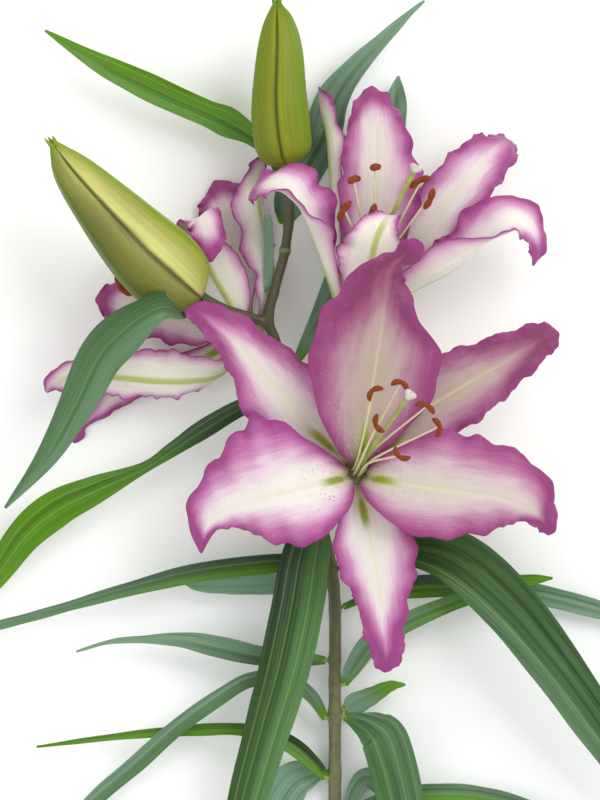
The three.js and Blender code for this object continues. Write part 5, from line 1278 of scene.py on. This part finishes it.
PEDICEL_RADIUS = 2.3
CUT_Y = -330.0


def sampled(points, step=1.2):
    curve = through(points)
    rough = curve(np.linspace(0, 1, 300))
    length = np.linalg.norm(np.diff(rough, axis=0), axis=1).sum()
    share = np.linspace(0, 1, max(6, int(length / step)))
    return curve(share), share


def stem_lines():
    lines, feet = [], []
    main, share = sampled(STEM_PATH)
    radius = STEM_RADIUS[0] + (STEM_RADIUS[1] - STEM_RADIUS[0]) * share
    knobs = 0.7 * bump(main[:, 1], JOINT_Y, 1.6)
    # swellings where the bud's stalk and the two side blooms' stalks leave the stem
    knobs = knobs + 0.45 * bump(main[:, 1], 41, 5) + 0.4 * bump(main[:, 1], 14, 6)
    for rows in LEAVES:
        foot = np.array(rows[0][:3])
        near = np.argmin(np.linalg.norm(main - foot, axis=1))
        if np.linalg.norm(main[near] - foot) < 9:
            knobs = knobs + 0.28 * bump(main[:, 1], main[near, 1], 2.6)
            inner = main[near] + unit(foot - main[near]) * 1.2
            entry = np.array(rows[1][:3]) - foot
            tip = foot + unit(entry) * 2.0
            path, part = sampled([inner, (inner + foot) / 2, foot, tip], 0.6)
            lines.append((path, 1.45 - 0.75 * part))
            feet.append(foot)
    lines.append((main, radius + knobs))
    bud_line, part = sampled(BUD_BRANCH)
    lines.append((bud_line, 2.3 + 1.4 * part ** 3))
    top, part = sampled([[-5.6, 108, 31.2], [-6, 115.8, 32], [-6.3, 119, 32.4]])
    lines.append((top, 2.2 + 1.7 * part ** 2))
    for bloom, start in BRANCHES.items():
        base, axis = place_of(bloom)
        limb, part = sampled(start + [list(base - axis * 3.25)])
        lines.append((limb, PEDICEL_RADIUS + 0.4 * bump(part, 0, 0.12)))
        seat, part = sampled([base - axis * 5.5, base - axis * 2.5, base + axis * 0.8], 0.4)
        lines.append((seat, 2.2 + 5.0 * smoothstep(0, 0.85, part) - 1.3 * smoothstep(0.85, 1, part)))
    return lines, np.array(feet)


stem_parts, leaf_feet = stem_lines()
print("limbs of the stem:", len(stem_parts), "leaf feet on it:", len(leaf_feet))

# %% [markdown]
# The skin of the stem is olive green, mottled with purple-brown, and finely ribbed. It turns
# yellow-green where a leaf's foot joins. The cut shows pale, wet pith with the ends of the fibre
# bundles as darker dots, about half a millimetre across.

# %% Stem skin and cut pith
def stem_skin():
    material, tree, surface = new_material("green_stem_skin")
    place = add(tree, "ShaderNodeTexCoord").outputs["Object"]
    young = add(tree, "ShaderNodeAttribute", attribute_name="young").outputs["Fac"]
    upper = add(tree, "ShaderNodeAttribute", attribute_name="upper_plant").outputs["Fac"]
    long_grain = add(tree, "ShaderNodeVectorMath", {0: place, 1: (900, 45, 900)},
                     operation="MULTIPLY").outputs[0]
    fibre = add(tree, "ShaderNodeTexNoise", {"Vector": long_grain, "Scale": 1.0, "Detail": 3.0}).outputs[0]
    # mottling 2 to 5 mm wide, and freckles 0.5 mm wide
    mottle = add(tree, "ShaderNodeTexNoise", {"Vector": place, "Scale": 260.0, "Detail": 4.0}).outputs[0]
    freckle = add(tree, "ShaderNodeTexNoise", {"Vector": place, "Scale": 1600.0, "Detail": 1.0}).outputs[0]
    green = add(tree, "ShaderNodeMix", {0: upper, 6: linear("#696D45"), 7: linear("#4F5136")},
                data_type="RGBA").outputs[2]
    brown = add(tree, "ShaderNodeMapRange", {0: mottle, 1: 0.46, 2: 0.7, 3: 0.0, 4: 0.5}).outputs[0]
    browned = add(tree, "ShaderNodeMix", {0: brown, 6: green, 7: linear("#57463F")},
                  data_type="RGBA").outputs[2]
    dots = add(tree, "ShaderNodeMapRange", {0: freckle, 1: 0.62, 2: 0.72, 3: 0.0, 4: 0.5}).outputs[0]
    dotted = add(tree, "ShaderNodeMix", {0: dots, 6: browned, 7: linear("#3D3A2A")},
                 data_type="RGBA").outputs[2]
    fresh = add(tree, "ShaderNodeMix", {0: young, 6: dotted, 7: linear("#8E9C4E")},
                data_type="RGBA").outputs[2]
    grain = add(tree, "ShaderNodeMapRange", {0: fibre, 1: 0.3, 2: 0.7, 3: 0.82, 4: 1.15}).outputs[0]
    colour = add(tree, "ShaderNodeMix", {0: 1.0, 6: fresh, 7: grain}, data_type="RGBA", blend_type="MULTIPLY")
    relief = add(tree, "ShaderNodeBump", {"Height": fibre, "Distance": 0.00015, "Strength": 0.6})
    fill(tree, surface, {
        "Base Color": colour.outputs[2], "Normal": relief.outputs[0], "Roughness": 0.45, "IOR": 1.45,
        "Subsurface Weight": 0.05, "Subsurface Radius": (0.0008, 0.001, 0.0004),
    })
    return material


def cut_pith():
    material, tree, surface = new_material("cut_stem_pith")
    place = add(tree, "ShaderNodeTexCoord").outputs["Object"]
    bundles = add(tree, "ShaderNodeTexVoronoi", {"Vector": place, "Scale": 900.0}).outputs["Distance"]
    dots = add(tree, "ShaderNodeMapRange", {0: bundles, 1: 0.15, 2: 0.4}).outputs[0]
    colour = add(tree, "ShaderNodeMix", {0: dots, 6: linear("#7F9148"), 7: linear("#D8DDB4")},
                 data_type="RGBA")
    fill(tree, surface, {
        "Base Color": colour.outputs[2], "Roughness": 0.35, "Subsurface Weight": 0.1,
        "Subsurface Radius": (0.001, 0.001, 0.0006),
    })
    return material


stem_material, pith_material = stem_skin(), cut_pith()
print("stem materials:", stem_material.name, pith_material.name)

# %% [markdown]
# The slanted cut is made last, with a plane, so its edge stays sharp. The remesh leaves no UV map
# and no named values, so the two masks that the material reads are measured again on the finished
# skin: how near a leaf's foot is, and how far up the plant the point lies.

# %% Growing the limbs together and cutting the stem
STEM_VOXEL = 0.00055
LIMB_SIDES = 20
CUT_SLANT = (0, 0.86, 0.5)


def grown_together(limbs):
    raw = run_tree("stem_limbs", line_mesh("stem", limbs), STALK,
                   {"Sides": LIMB_SIDES, "Skin": stem_material})
    holder = place_mesh(raw)
    remesh = holder.modifiers.new("grown_together", "REMESH")
    remesh.mode, remesh.voxel_size, remesh.use_smooth_shade = "VOXEL", STEM_VOXEL, True
    relax = holder.modifiers.new("softened", "SMOOTH")
    relax.factor, relax.iterations = 0.5, 6
    skin = bpy.data.meshes.new_from_object(holder.evaluated_get(bpy.context.evaluated_depsgraph_get()))
    bpy.data.objects.remove(holder)
    skin.name = "stem_skin"
    return skin


def cut_slanted(skin):
    """Cuts the lower end off with a plane, closes it with pith, and keeps all points above the floor."""
    body = bmesh.new()
    body.from_mesh(skin)
    inside = Vector((0, CUT_Y, STEM_RADIUS[0]))
    point = (inside + Vector(PLAN_SHIFT.tolist())) * MM
    parts = body.verts[:] + body.edges[:] + body.faces[:]
    cut = bmesh.ops.bisect_plane(body, geom=parts, plane_co=point,
                                 plane_no=Vector(CUT_SLANT).normalized(), clear_inner=True)
    rim = [item for item in cut["geom_cut"] if isinstance(item, bmesh.types.BMEdge)]
    closed = bmesh.ops.triangle_fill(body, edges=rim, use_beauty=True)["geom"]
    for item in closed:
        if isinstance(item, bmesh.types.BMFace):
            item.material_index = 1
            item.smooth = False
    for vertex in body.verts:
        vertex.co.z = max(0.0, vertex.co.z)
    bmesh.ops.recalc_face_normals(body, faces=body.faces[:])
    body.to_mesh(skin)
    body.free()
    skin.materials.clear()
    skin.materials.append(stem_material)
    skin.materials.append(pith_material)


def nearest_of(places, targets):
    """Distance in mm from each place to the nearest target."""
    nearest = np.full(len(places), np.inf)
    for target in targets:
        nearest = np.minimum(nearest, np.linalg.norm(places - target, axis=1))
    return nearest


def mark_skin(skin):
    """Keeps in the mesh how young the tissue is and how far up the plant it is."""
    places = np.empty(len(skin.vertices) * 3)
    skin.vertices.foreach_get("co", places)
    places = places.reshape(-1, 3) / MM - PLAN_SHIFT
    leaf_foot = nearest_of(places, leaf_feet)
    seat = nearest_of(places, [place_of(bloom)[0] for bloom in BLOOMS])
    young = np.maximum(1 - smoothstep(0.6, 2.6, leaf_foot), 0.85 * (1 - smoothstep(6, 13, seat)))
    joint = bump(places[:, 1], JOINT_Y, 1.0) * (np.abs(places[:, 0] - JOINT_X) < 8)
    marks = {"young": np.maximum(young, 0.7 * joint), "upper_plant": smoothstep(-60, 20, places[:, 1])}
    for name, values in marks.items():
        skin.attributes.new(name, "FLOAT", "POINT").data.foreach_set("value", values)


skin = grown_together(stem_parts)
cut_slanted(skin)
mark_skin(skin)
hand_over(place_mesh(skin), "stem", "stem")
print("faces of the stem's skin:", len(skin.polygons))

# %% [markdown]
# ## Stamens: filaments and anthers
# Each bloom has six stamens. A filament is a thin pale thread, and on its tip an anther swings
# like the bar of a scale. Ripe anthers curl into an arch and are covered with rust-red pollen
# that comes off on everything. For each anther the tables give where it hangs, which way the bar
# lies, to which side its arch bulges, and how far it is curled.

# %% Where the anthers and styles are
ANTHERS = {
    "front": [
        {"at": [36.5, 4, 97], "lie": [1, 0.9, 0.1], "turn": 160},
        {"at": [50, 8, 101], "lie": [1, -0.4, 0], "turn": 95},
        {"at": [38.5, -12, 94], "lie": [0.4, -1, 0.2], "turn": 220},
        {"at": [62.5, -3.5, 98], "lie": [1, -0.5, 0.1], "turn": 40},
        {"at": [68.5, -13.5, 95], "lie": [0.2, -1, 0], "turn": 340},
        {"at": [50, -27.5, 92], "lie": [1, -0.7, 0], "turn": 280},
    ],
    "right": [
        {"at": [22.5, 94, 66], "lie": [0.5, 0.8, 0.1], "turn": 200},
        {"at": [34.5, 93, 62], "lie": [0.5, 0.9, 0.1], "turn": 265},
        {"at": [27, 109.5, 60], "lie": [0.5, 0.2, -1], "turn": 150},
        {"at": [37.5, 115.5, 56], "lie": [0.3, 0.1, -1], "turn": 95},
        {"at": [60, 108.5, 62], "lie": [1, 0.5, 0.2], "turn": 40},
        {"at": [64, 100.5, 68], "lie": [0.4, 0.9, 0.3], "turn": 325},
    ],
    "left": [
        {"at": [-88, 55.5, 22], "lie": [-0.9, 0.7, 0], "turn": 160},
        {"at": [-84, 74, 20], "lie": [0.6, 0.8, 0.2], "turn": 45},
        {"at": [-78, 80, 24], "lie": [0.8, 0.5, 0.1], "turn": 0},
        {"at": [-80, 60, 27], "lie": [0.2, 0.9, 0.2], "turn": 220},
        {"at": [-72, 74, 27], "lie": [0.5, 0.8, 0.1], "turn": 310},
        {"at": [-91, 63, 19], "lie": [0.1, 1, 0.1], "turn": 100},
    ],
}
ARCHES = {
    "front": [([-0.7, 0.9, 0.3], 78), ([0.1, 1, 0.3], 84), ([-1, -0.1, 0.3], 66),
              ([0.5, 0.9, 0.3], 52), ([1, 0.1, 0.3], 70), ([-0.5, -0.8, 0.3], 74)],
    "right": [([-0.8, 0.6, 0.3], 18), ([0.8, -0.5, 0.4], 16), ([0.1, 0.9, 0.3], 30),
              ([0.2, 0.9, 0.2], 16), ([-0.4, 1, 0.2], 24), ([0.9, -0.4, 0.3], 20)],
    "left": [([-0.6, -0.8, 0.2], 60), ([-0.8, 0.6, 0], 44), ([-0.5, 0.8, 0.1], 44),
             ([-1, 0.2, 0.1], 50), ([-0.8, 0.5, 0.1], 44), ([-1, 0.1, 0.1], 40)],
}
STYLES = {
    "front": [[34, -27, 62], [44, -12, 86], [54.5, 2.5, 106]],
    "right": [[36.5, 69, 44], [45, 90, 55.5], [57.5, 115.5, 72]],
    "left": [[-46, 44, 21], [-66, 57, 23], [-86, 68, 25]],
}
ANTHER_LENGTH = 12.0
ANTHER_THICKNESS = {"front": 1.35, "right": 1.6, "left": 1.4}
FILAMENT_AT_ROOT, FILAMENT_AT_TIP = 0.95, 0.5
print("anthers:", sum(len(row) for row in ANTHERS.values()))

# %% [markdown]
# The thread is smooth, moist tissue of pale yellow-green, a little pink near the tip. The anther
# is dry and matt, with a groove along its back, and grains of pollen 0.2 to 0.4 mm wide lie on it.
# Real grains are 0.1 mm, which would not show.

# %% Filament, style, stigma, anther and pollen materials
def soft_tissue(name, foot, tip, scale_mm, roughness):
    material, tree, surface = new_material(name)
    place = add(tree, "ShaderNodeTexCoord").outputs["Object"]
    cloud = add(tree, "ShaderNodeTexNoise",
                {"Vector": place, "Scale": 1000 / scale_mm, "Detail": 3.0}).outputs[0]
    share = add(tree, "ShaderNodeMapRange", {0: cloud, 1: 0.35, 2: 0.65}).outputs[0]
    colour = add(tree, "ShaderNodeMix", {0: share, 6: linear(foot), 7: linear(tip)}, data_type="RGBA")
    skin = add(tree, "ShaderNodeTexNoise", {"Vector": place, "Scale": 2500.0, "Detail": 2.0}).outputs[0]
    relief = add(tree, "ShaderNodeBump", {"Height": skin, "Distance": 0.0001, "Strength": 0.5})
    fill(tree, surface, {
        "Base Color": colour.outputs[2], "Normal": relief.outputs[0], "Roughness": roughness, "IOR": 1.4,
        "Subsurface Weight": 0.12, "Subsurface Radius": (0.001, 0.0009, 0.0004),
    })
    return material


filament_material = soft_tissue("moist_filament", "#DAD8A0", "#D8C9A6", 6, 0.4)
style_material = soft_tissue("moist_style", "#8FA03E", "#A9B45C", 5, 0.38)
stigma_material = soft_tissue("velvet_stigma", "#B5AAA6", "#CDC4BC", 1.2, 0.6)
anther_material = soft_tissue("dry_anther_wall", "#6E2E0C", "#8F4416", 0.9, 0.8)
pollen_material = soft_tissue("rust_pollen", "#9A4A14", "#7A340E", 0.5, 0.9)
papilla_material = soft_tissue("petal_papilla", "#D8C4CE", "#CFA2C3", 3, 0.5)
print("stamen and pistil materials ready")

# %% [markdown]
# ## A Geometry Nodes tree for grains
# Pollen lies on the anthers, and the petals have warts round their nectar furrows, both as small
# round grains strewn over a surface. The tree strews points on the faces of what it is given, in
# proportion to an attribute named grainy, puts a low, rounded grain on each, and turns the lot
# into real mesh. The seed is an input, so every run strews them alike.

# %% The grain tree
def grain_tree():
    tree = bpy.data.node_groups.new("grains_on_surface", "GeometryNodeTree")
    face = tree.interface
    face.new_socket("Surface", in_out="INPUT", socket_type="NodeSocketGeometry")
    face.new_socket("Per square metre", in_out="INPUT", socket_type="NodeSocketFloat")
    face.new_socket("Smallest", in_out="INPUT", socket_type="NodeSocketFloat").default_value = 0.0001
    face.new_socket("Largest", in_out="INPUT", socket_type="NodeSocketFloat").default_value = 0.0002
    face.new_socket("Height", in_out="INPUT", socket_type="NodeSocketFloat").default_value = 1.0
    face.new_socket("Seed", in_out="INPUT", socket_type="NodeSocketInt").default_value = 1
    face.new_socket("Skin", in_out="INPUT", socket_type="NodeSocketMaterial")
    face.new_socket("Grains", in_out="OUTPUT", socket_type="NodeSocketGeometry")
    given = add(tree, "NodeGroupInput").outputs
    grainy = add(tree, "GeometryNodeInputNamedAttribute", {"Name": "grainy"}, data_type="FLOAT").outputs[0]
    density = add(tree, "ShaderNodeMath", {0: grainy, 1: given["Per square metre"]},
                  operation="MULTIPLY").outputs[0]
    strewn = add(tree, "GeometryNodeDistributePointsOnFaces",
                 {"Mesh": given["Surface"], "Density": density, "Seed": given["Seed"]})
    size = add(tree, "FunctionNodeRandomValue", data_type="FLOAT")
    tree.links.new(given["Smallest"], size.inputs[2])
    tree.links.new(given["Largest"], size.inputs[3])
    tree.links.new(given["Seed"], size.inputs["Seed"])
    raised = add(tree, "ShaderNodeMath", {0: size.outputs[1], 1: given["Height"]},
                 operation="MULTIPLY").outputs[0]
    shape = add(tree, "ShaderNodeCombineXYZ",
                {"X": size.outputs[1], "Y": size.outputs[1], "Z": raised}).outputs[0]
    grain = add(tree, "GeometryNodeMeshIcoSphere", {"Radius": 1.0, "Subdivisions": 1}).outputs[0]
    laid = add(tree, "GeometryNodeInstanceOnPoints", {"Points": strewn.outputs["Points"], "Instance": grain,
               "Rotation": strewn.outputs["Rotation"], "Scale": shape}).outputs[0]
    real = add(tree, "GeometryNodeRealizeInstances", {"Geometry": laid}).outputs[0]
    smooth = add(tree, "GeometryNodeSetShadeSmooth", {"Geometry": real}).outputs[0]
    skinned = add(tree, "GeometryNodeSetMaterial", {"Geometry": smooth, "Material": given["Skin"]}).outputs[0]
    add(tree, "NodeGroupOutput", {"Grains": skinned})
    return tree


GRAINS = grain_tree()
print("grain tree inputs:", [s.name for s in GRAINS.interface.items_tree if s.in_out == "INPUT"])

# %% [markdown]
# An anther is a bar bent into an arch, oval in section, with a groove on the outer side. It is
# lofted ring by ring. The filament meets it in the middle of its hollow side.

# %% Filaments, anthers and pollen
ANTHER_RINGS, ANTHER_SIDES = 34, 22
FILAMENT_SIDES = 14
POLLEN = {"Per square metre": 7.0e6, "Smallest": 0.00010, "Largest": 0.00019, "Height": 0.8, "Seed": 7}


def anther(at, lie, bulge, curl, thickness):
    lie = unit(np.array(lie, float))
    bulge = np.array(bulge, float)
    bulge = unit(bulge - lie * (bulge @ lie))
    turn = np.radians(curl) * np.linspace(-1, 1, ANTHER_RINGS)
    bend = ANTHER_LENGTH / 2 / np.radians(curl)
    middle = np.array(at, float) + bulge * thickness * 0.7
    centre = middle + bend * (np.sin(turn)[:, None] * lie + (np.cos(turn) - 1)[:, None] * bulge)
    outer = np.sin(turn)[:, None] * lie + np.cos(turn)[:, None] * bulge
    side = np.cross(lie, bulge)
    s = np.linspace(0, 1, ANTHER_RINGS)
    swell = np.sqrt(np.maximum(0, 1 - (np.abs(2 * s - 1)) ** 5)) * (1 - 0.12 * np.cos(4 * np.pi * s))
    radius = thickness * np.maximum(0.12, swell)[:, None]
    ring = np.linspace(0, 2 * np.pi, ANTHER_SIDES, endpoint=False)[None, :]
    radius = radius * (1 - 0.3 * bump(np.abs((ring + np.pi) % (2 * np.pi) - np.pi), 0, 0.35))
    points = centre[:, None] + (radius * np.cos(ring))[..., None] * outer[:, None]
    points = points + (radius * 1.12 * np.sin(ring))[..., None] * side
    return points.reshape(-1, 3)


def stamens(bloom):
    base, axis = place_of(bloom)
    toward_style = np.array(STYLES[bloom][0], float)
    threads, bars, faces = [], [], []
    for row, (bulge, curl) in zip(ANTHERS[bloom], ARCHES[bloom]):
        outward = outward_at(axis, row["turn"])
        foot = base + outward * 2.5 + axis
        path, share = sampled([foot, foot + axis * 9, toward_style + outward * 4.4, row["at"]], 1.5)
        threads.append((path, FILAMENT_AT_ROOT + (FILAMENT_AT_TIP - FILAMENT_AT_ROOT) * share ** 0.8))
        start = len(bars)
        bars.extend(anther(row["at"], row["lie"], bulge, curl, ANTHER_THICKNESS[bloom]))
        faces.extend([tuple(i + start for i in face) for face in ring_faces(ANTHER_RINGS, ANTHER_SIDES)])
        last = start + (ANTHER_RINGS - 1) * ANTHER_SIDES
        faces.append(tuple(start + k for k in reversed(range(ANTHER_SIDES))))
        faces.append(tuple(last + k for k in range(ANTHER_SIDES)))
    mesh = run_tree(f"{bloom}_bloom_filaments", line_mesh(bloom, threads), STALK,
                    {"Sides": FILAMENT_SIDES, "Skin": filament_material})
    hand_over(place_mesh(mesh), "stamens", f"{bloom}_bloom_stamens")
    wall = make_piece(f"{bloom}_bloom_anthers", bars, faces, [anther_material],
                      attributes={"grainy": np.ones(len(bars))})
    dust = run_tree(f"{bloom}_bloom_pollen", wall.data.copy(), GRAINS, {**POLLEN, "Skin": pollen_material})
    hand_over(wall, "stamens", f"{bloom}_bloom_stamens")
    hand_over(place_mesh(dust), "stamens", f"{bloom}_bloom_stamens")
    return len(dust.polygons)


for bloom in BLOOMS:
    print(bloom, "pollen faces:", stamens(bloom))

# %% [markdown]
# ## Pistils
# In the middle stands the pistil: a ribbed green ovary, a long style that curves to one side, and
# a stigma of three velvet lobes, which is where the pollen has to land.

# %% Ovary, style and stigma
OVARY_LENGTH, OVARY_RADIUS, STYLE_RADIUS, STIGMA_RADIUS = 12.0, 1.5, 1.1, 3.0
STYLE_SIDES, STIGMA_RINGS, STIGMA_SIDES = 18, 22, 42


def style(bloom):
    """The ovary and the style in one line, and that line's points."""
    base, axis = place_of(bloom)
    path, share = sampled([base + axis * 0.1, base + axis * OVARY_LENGTH] + STYLES[bloom], 1.0)
    radius = OVARY_RADIUS + (STYLE_RADIUS - OVARY_RADIUS) * smoothstep(0.12, 0.26, share)
    radius = radius + 0.35 * smoothstep(0.9, 1, share)
    mesh = run_tree(f"{bloom}_bloom_style", line_mesh(bloom, [(path, radius)]), STALK,
                    {"Sides": STYLE_SIDES, "Skin": style_material})
    hand_over(place_mesh(mesh), "pistil", f"{bloom}_bloom_pistil")
    return path


def stigma(bloom, end, lead):
    first = unit(UP - lead * (lead @ UP)) if abs(lead[2]) < 0.9 else unit(np.cross(lead, [1.0, 0, 0]))
    second = np.cross(lead, first)
    tilt = np.linspace(0, np.pi, STIGMA_RINGS + 2)[1:-1, None]
    turn = np.linspace(0, 2 * np.pi, STIGMA_SIDES, endpoint=False)[None, :]
    lobe = 1 + 0.2 * np.cos(3 * turn) * np.sin(tilt) - 0.22 * bump(tilt, np.pi, 0.9)
    wide = STIGMA_RADIUS * lobe * np.sin(tilt)
    high = -STIGMA_RADIUS * 0.72 * np.cos(tilt) - 0.8 * bump(tilt, np.pi, 0.7)
    rings = end + lead * high[..., None] + first * (wide * np.cos(turn))[..., None]
    rings = rings + second * (wide * np.sin(turn))[..., None]
    points, faces = closed_loft(rings, end + lead * (high[0, 0] - 0.1), end + lead * (high[-1, 0] + 0.02))
    knob = make_piece(f"{bloom}_bloom_stigma", points, faces, [stigma_material])
    hand_over(knob, "pistil", f"{bloom}_bloom_pistil")


for bloom in BLOOMS:
    path = style(bloom)
    stigma(bloom, path[-1], unit(path[-1] - path[-4]))
print("pistils:", list(STYLES))

# %% [markdown]
# ## Warts on the petals
# Round the nectar furrow the inner petals carry small fleshy warts, which botanists call papillae.
# The grain tree strews them over the inner face only, thickest beside the furrow.

# %% Papillae
PAPILLAE = {"Per square metre": 4.5e5, "Smallest": 0.00018, "Largest": 0.00038, "Height": 1.1}


def papillae(bloom, seed):
    points, faces, mask, nodes = [], [], [], []
    inner = (len(ALONG_TEPAL) - 1) * (len(ACROSS_TEPAL) - 1)     # a sheet's first faces are its inner face
    for (of_bloom, name), piece in tepal_pieces.items():
        if of_bloom != bloom or not name.startswith("petal"):
            continue
        nodes.append(f"{bloom}_bloom_{name}")
        mesh = piece.data
        start = len(points)
        points.extend((np.array(v.co) / MM - PLAN_SHIFT) for v in mesh.vertices)
        values = np.empty(len(mesh.vertices))
        mesh.attributes["warty"].data.foreach_get("value", values)
        mask.extend(values)
        faces.extend(tuple(start + i for i in face.vertices) for face in mesh.polygons[:inner])
    patch = make_piece(f"{bloom}_patch", points, faces, [], attributes={"grainy": mask})
    warts = run_tree(f"{bloom}_bloom_papillae", patch.data.copy(), GRAINS,
                     {**PAPILLAE, "Seed": seed, "Skin": papilla_material})
    bpy.data.objects.remove(patch)
    hand_over(place_mesh(warts), "tepal", *nodes)
    return len(warts.polygons)


for seed, bloom in enumerate(BLOOMS, start=3):
    print(bloom, "papilla faces:", papillae(bloom, seed))
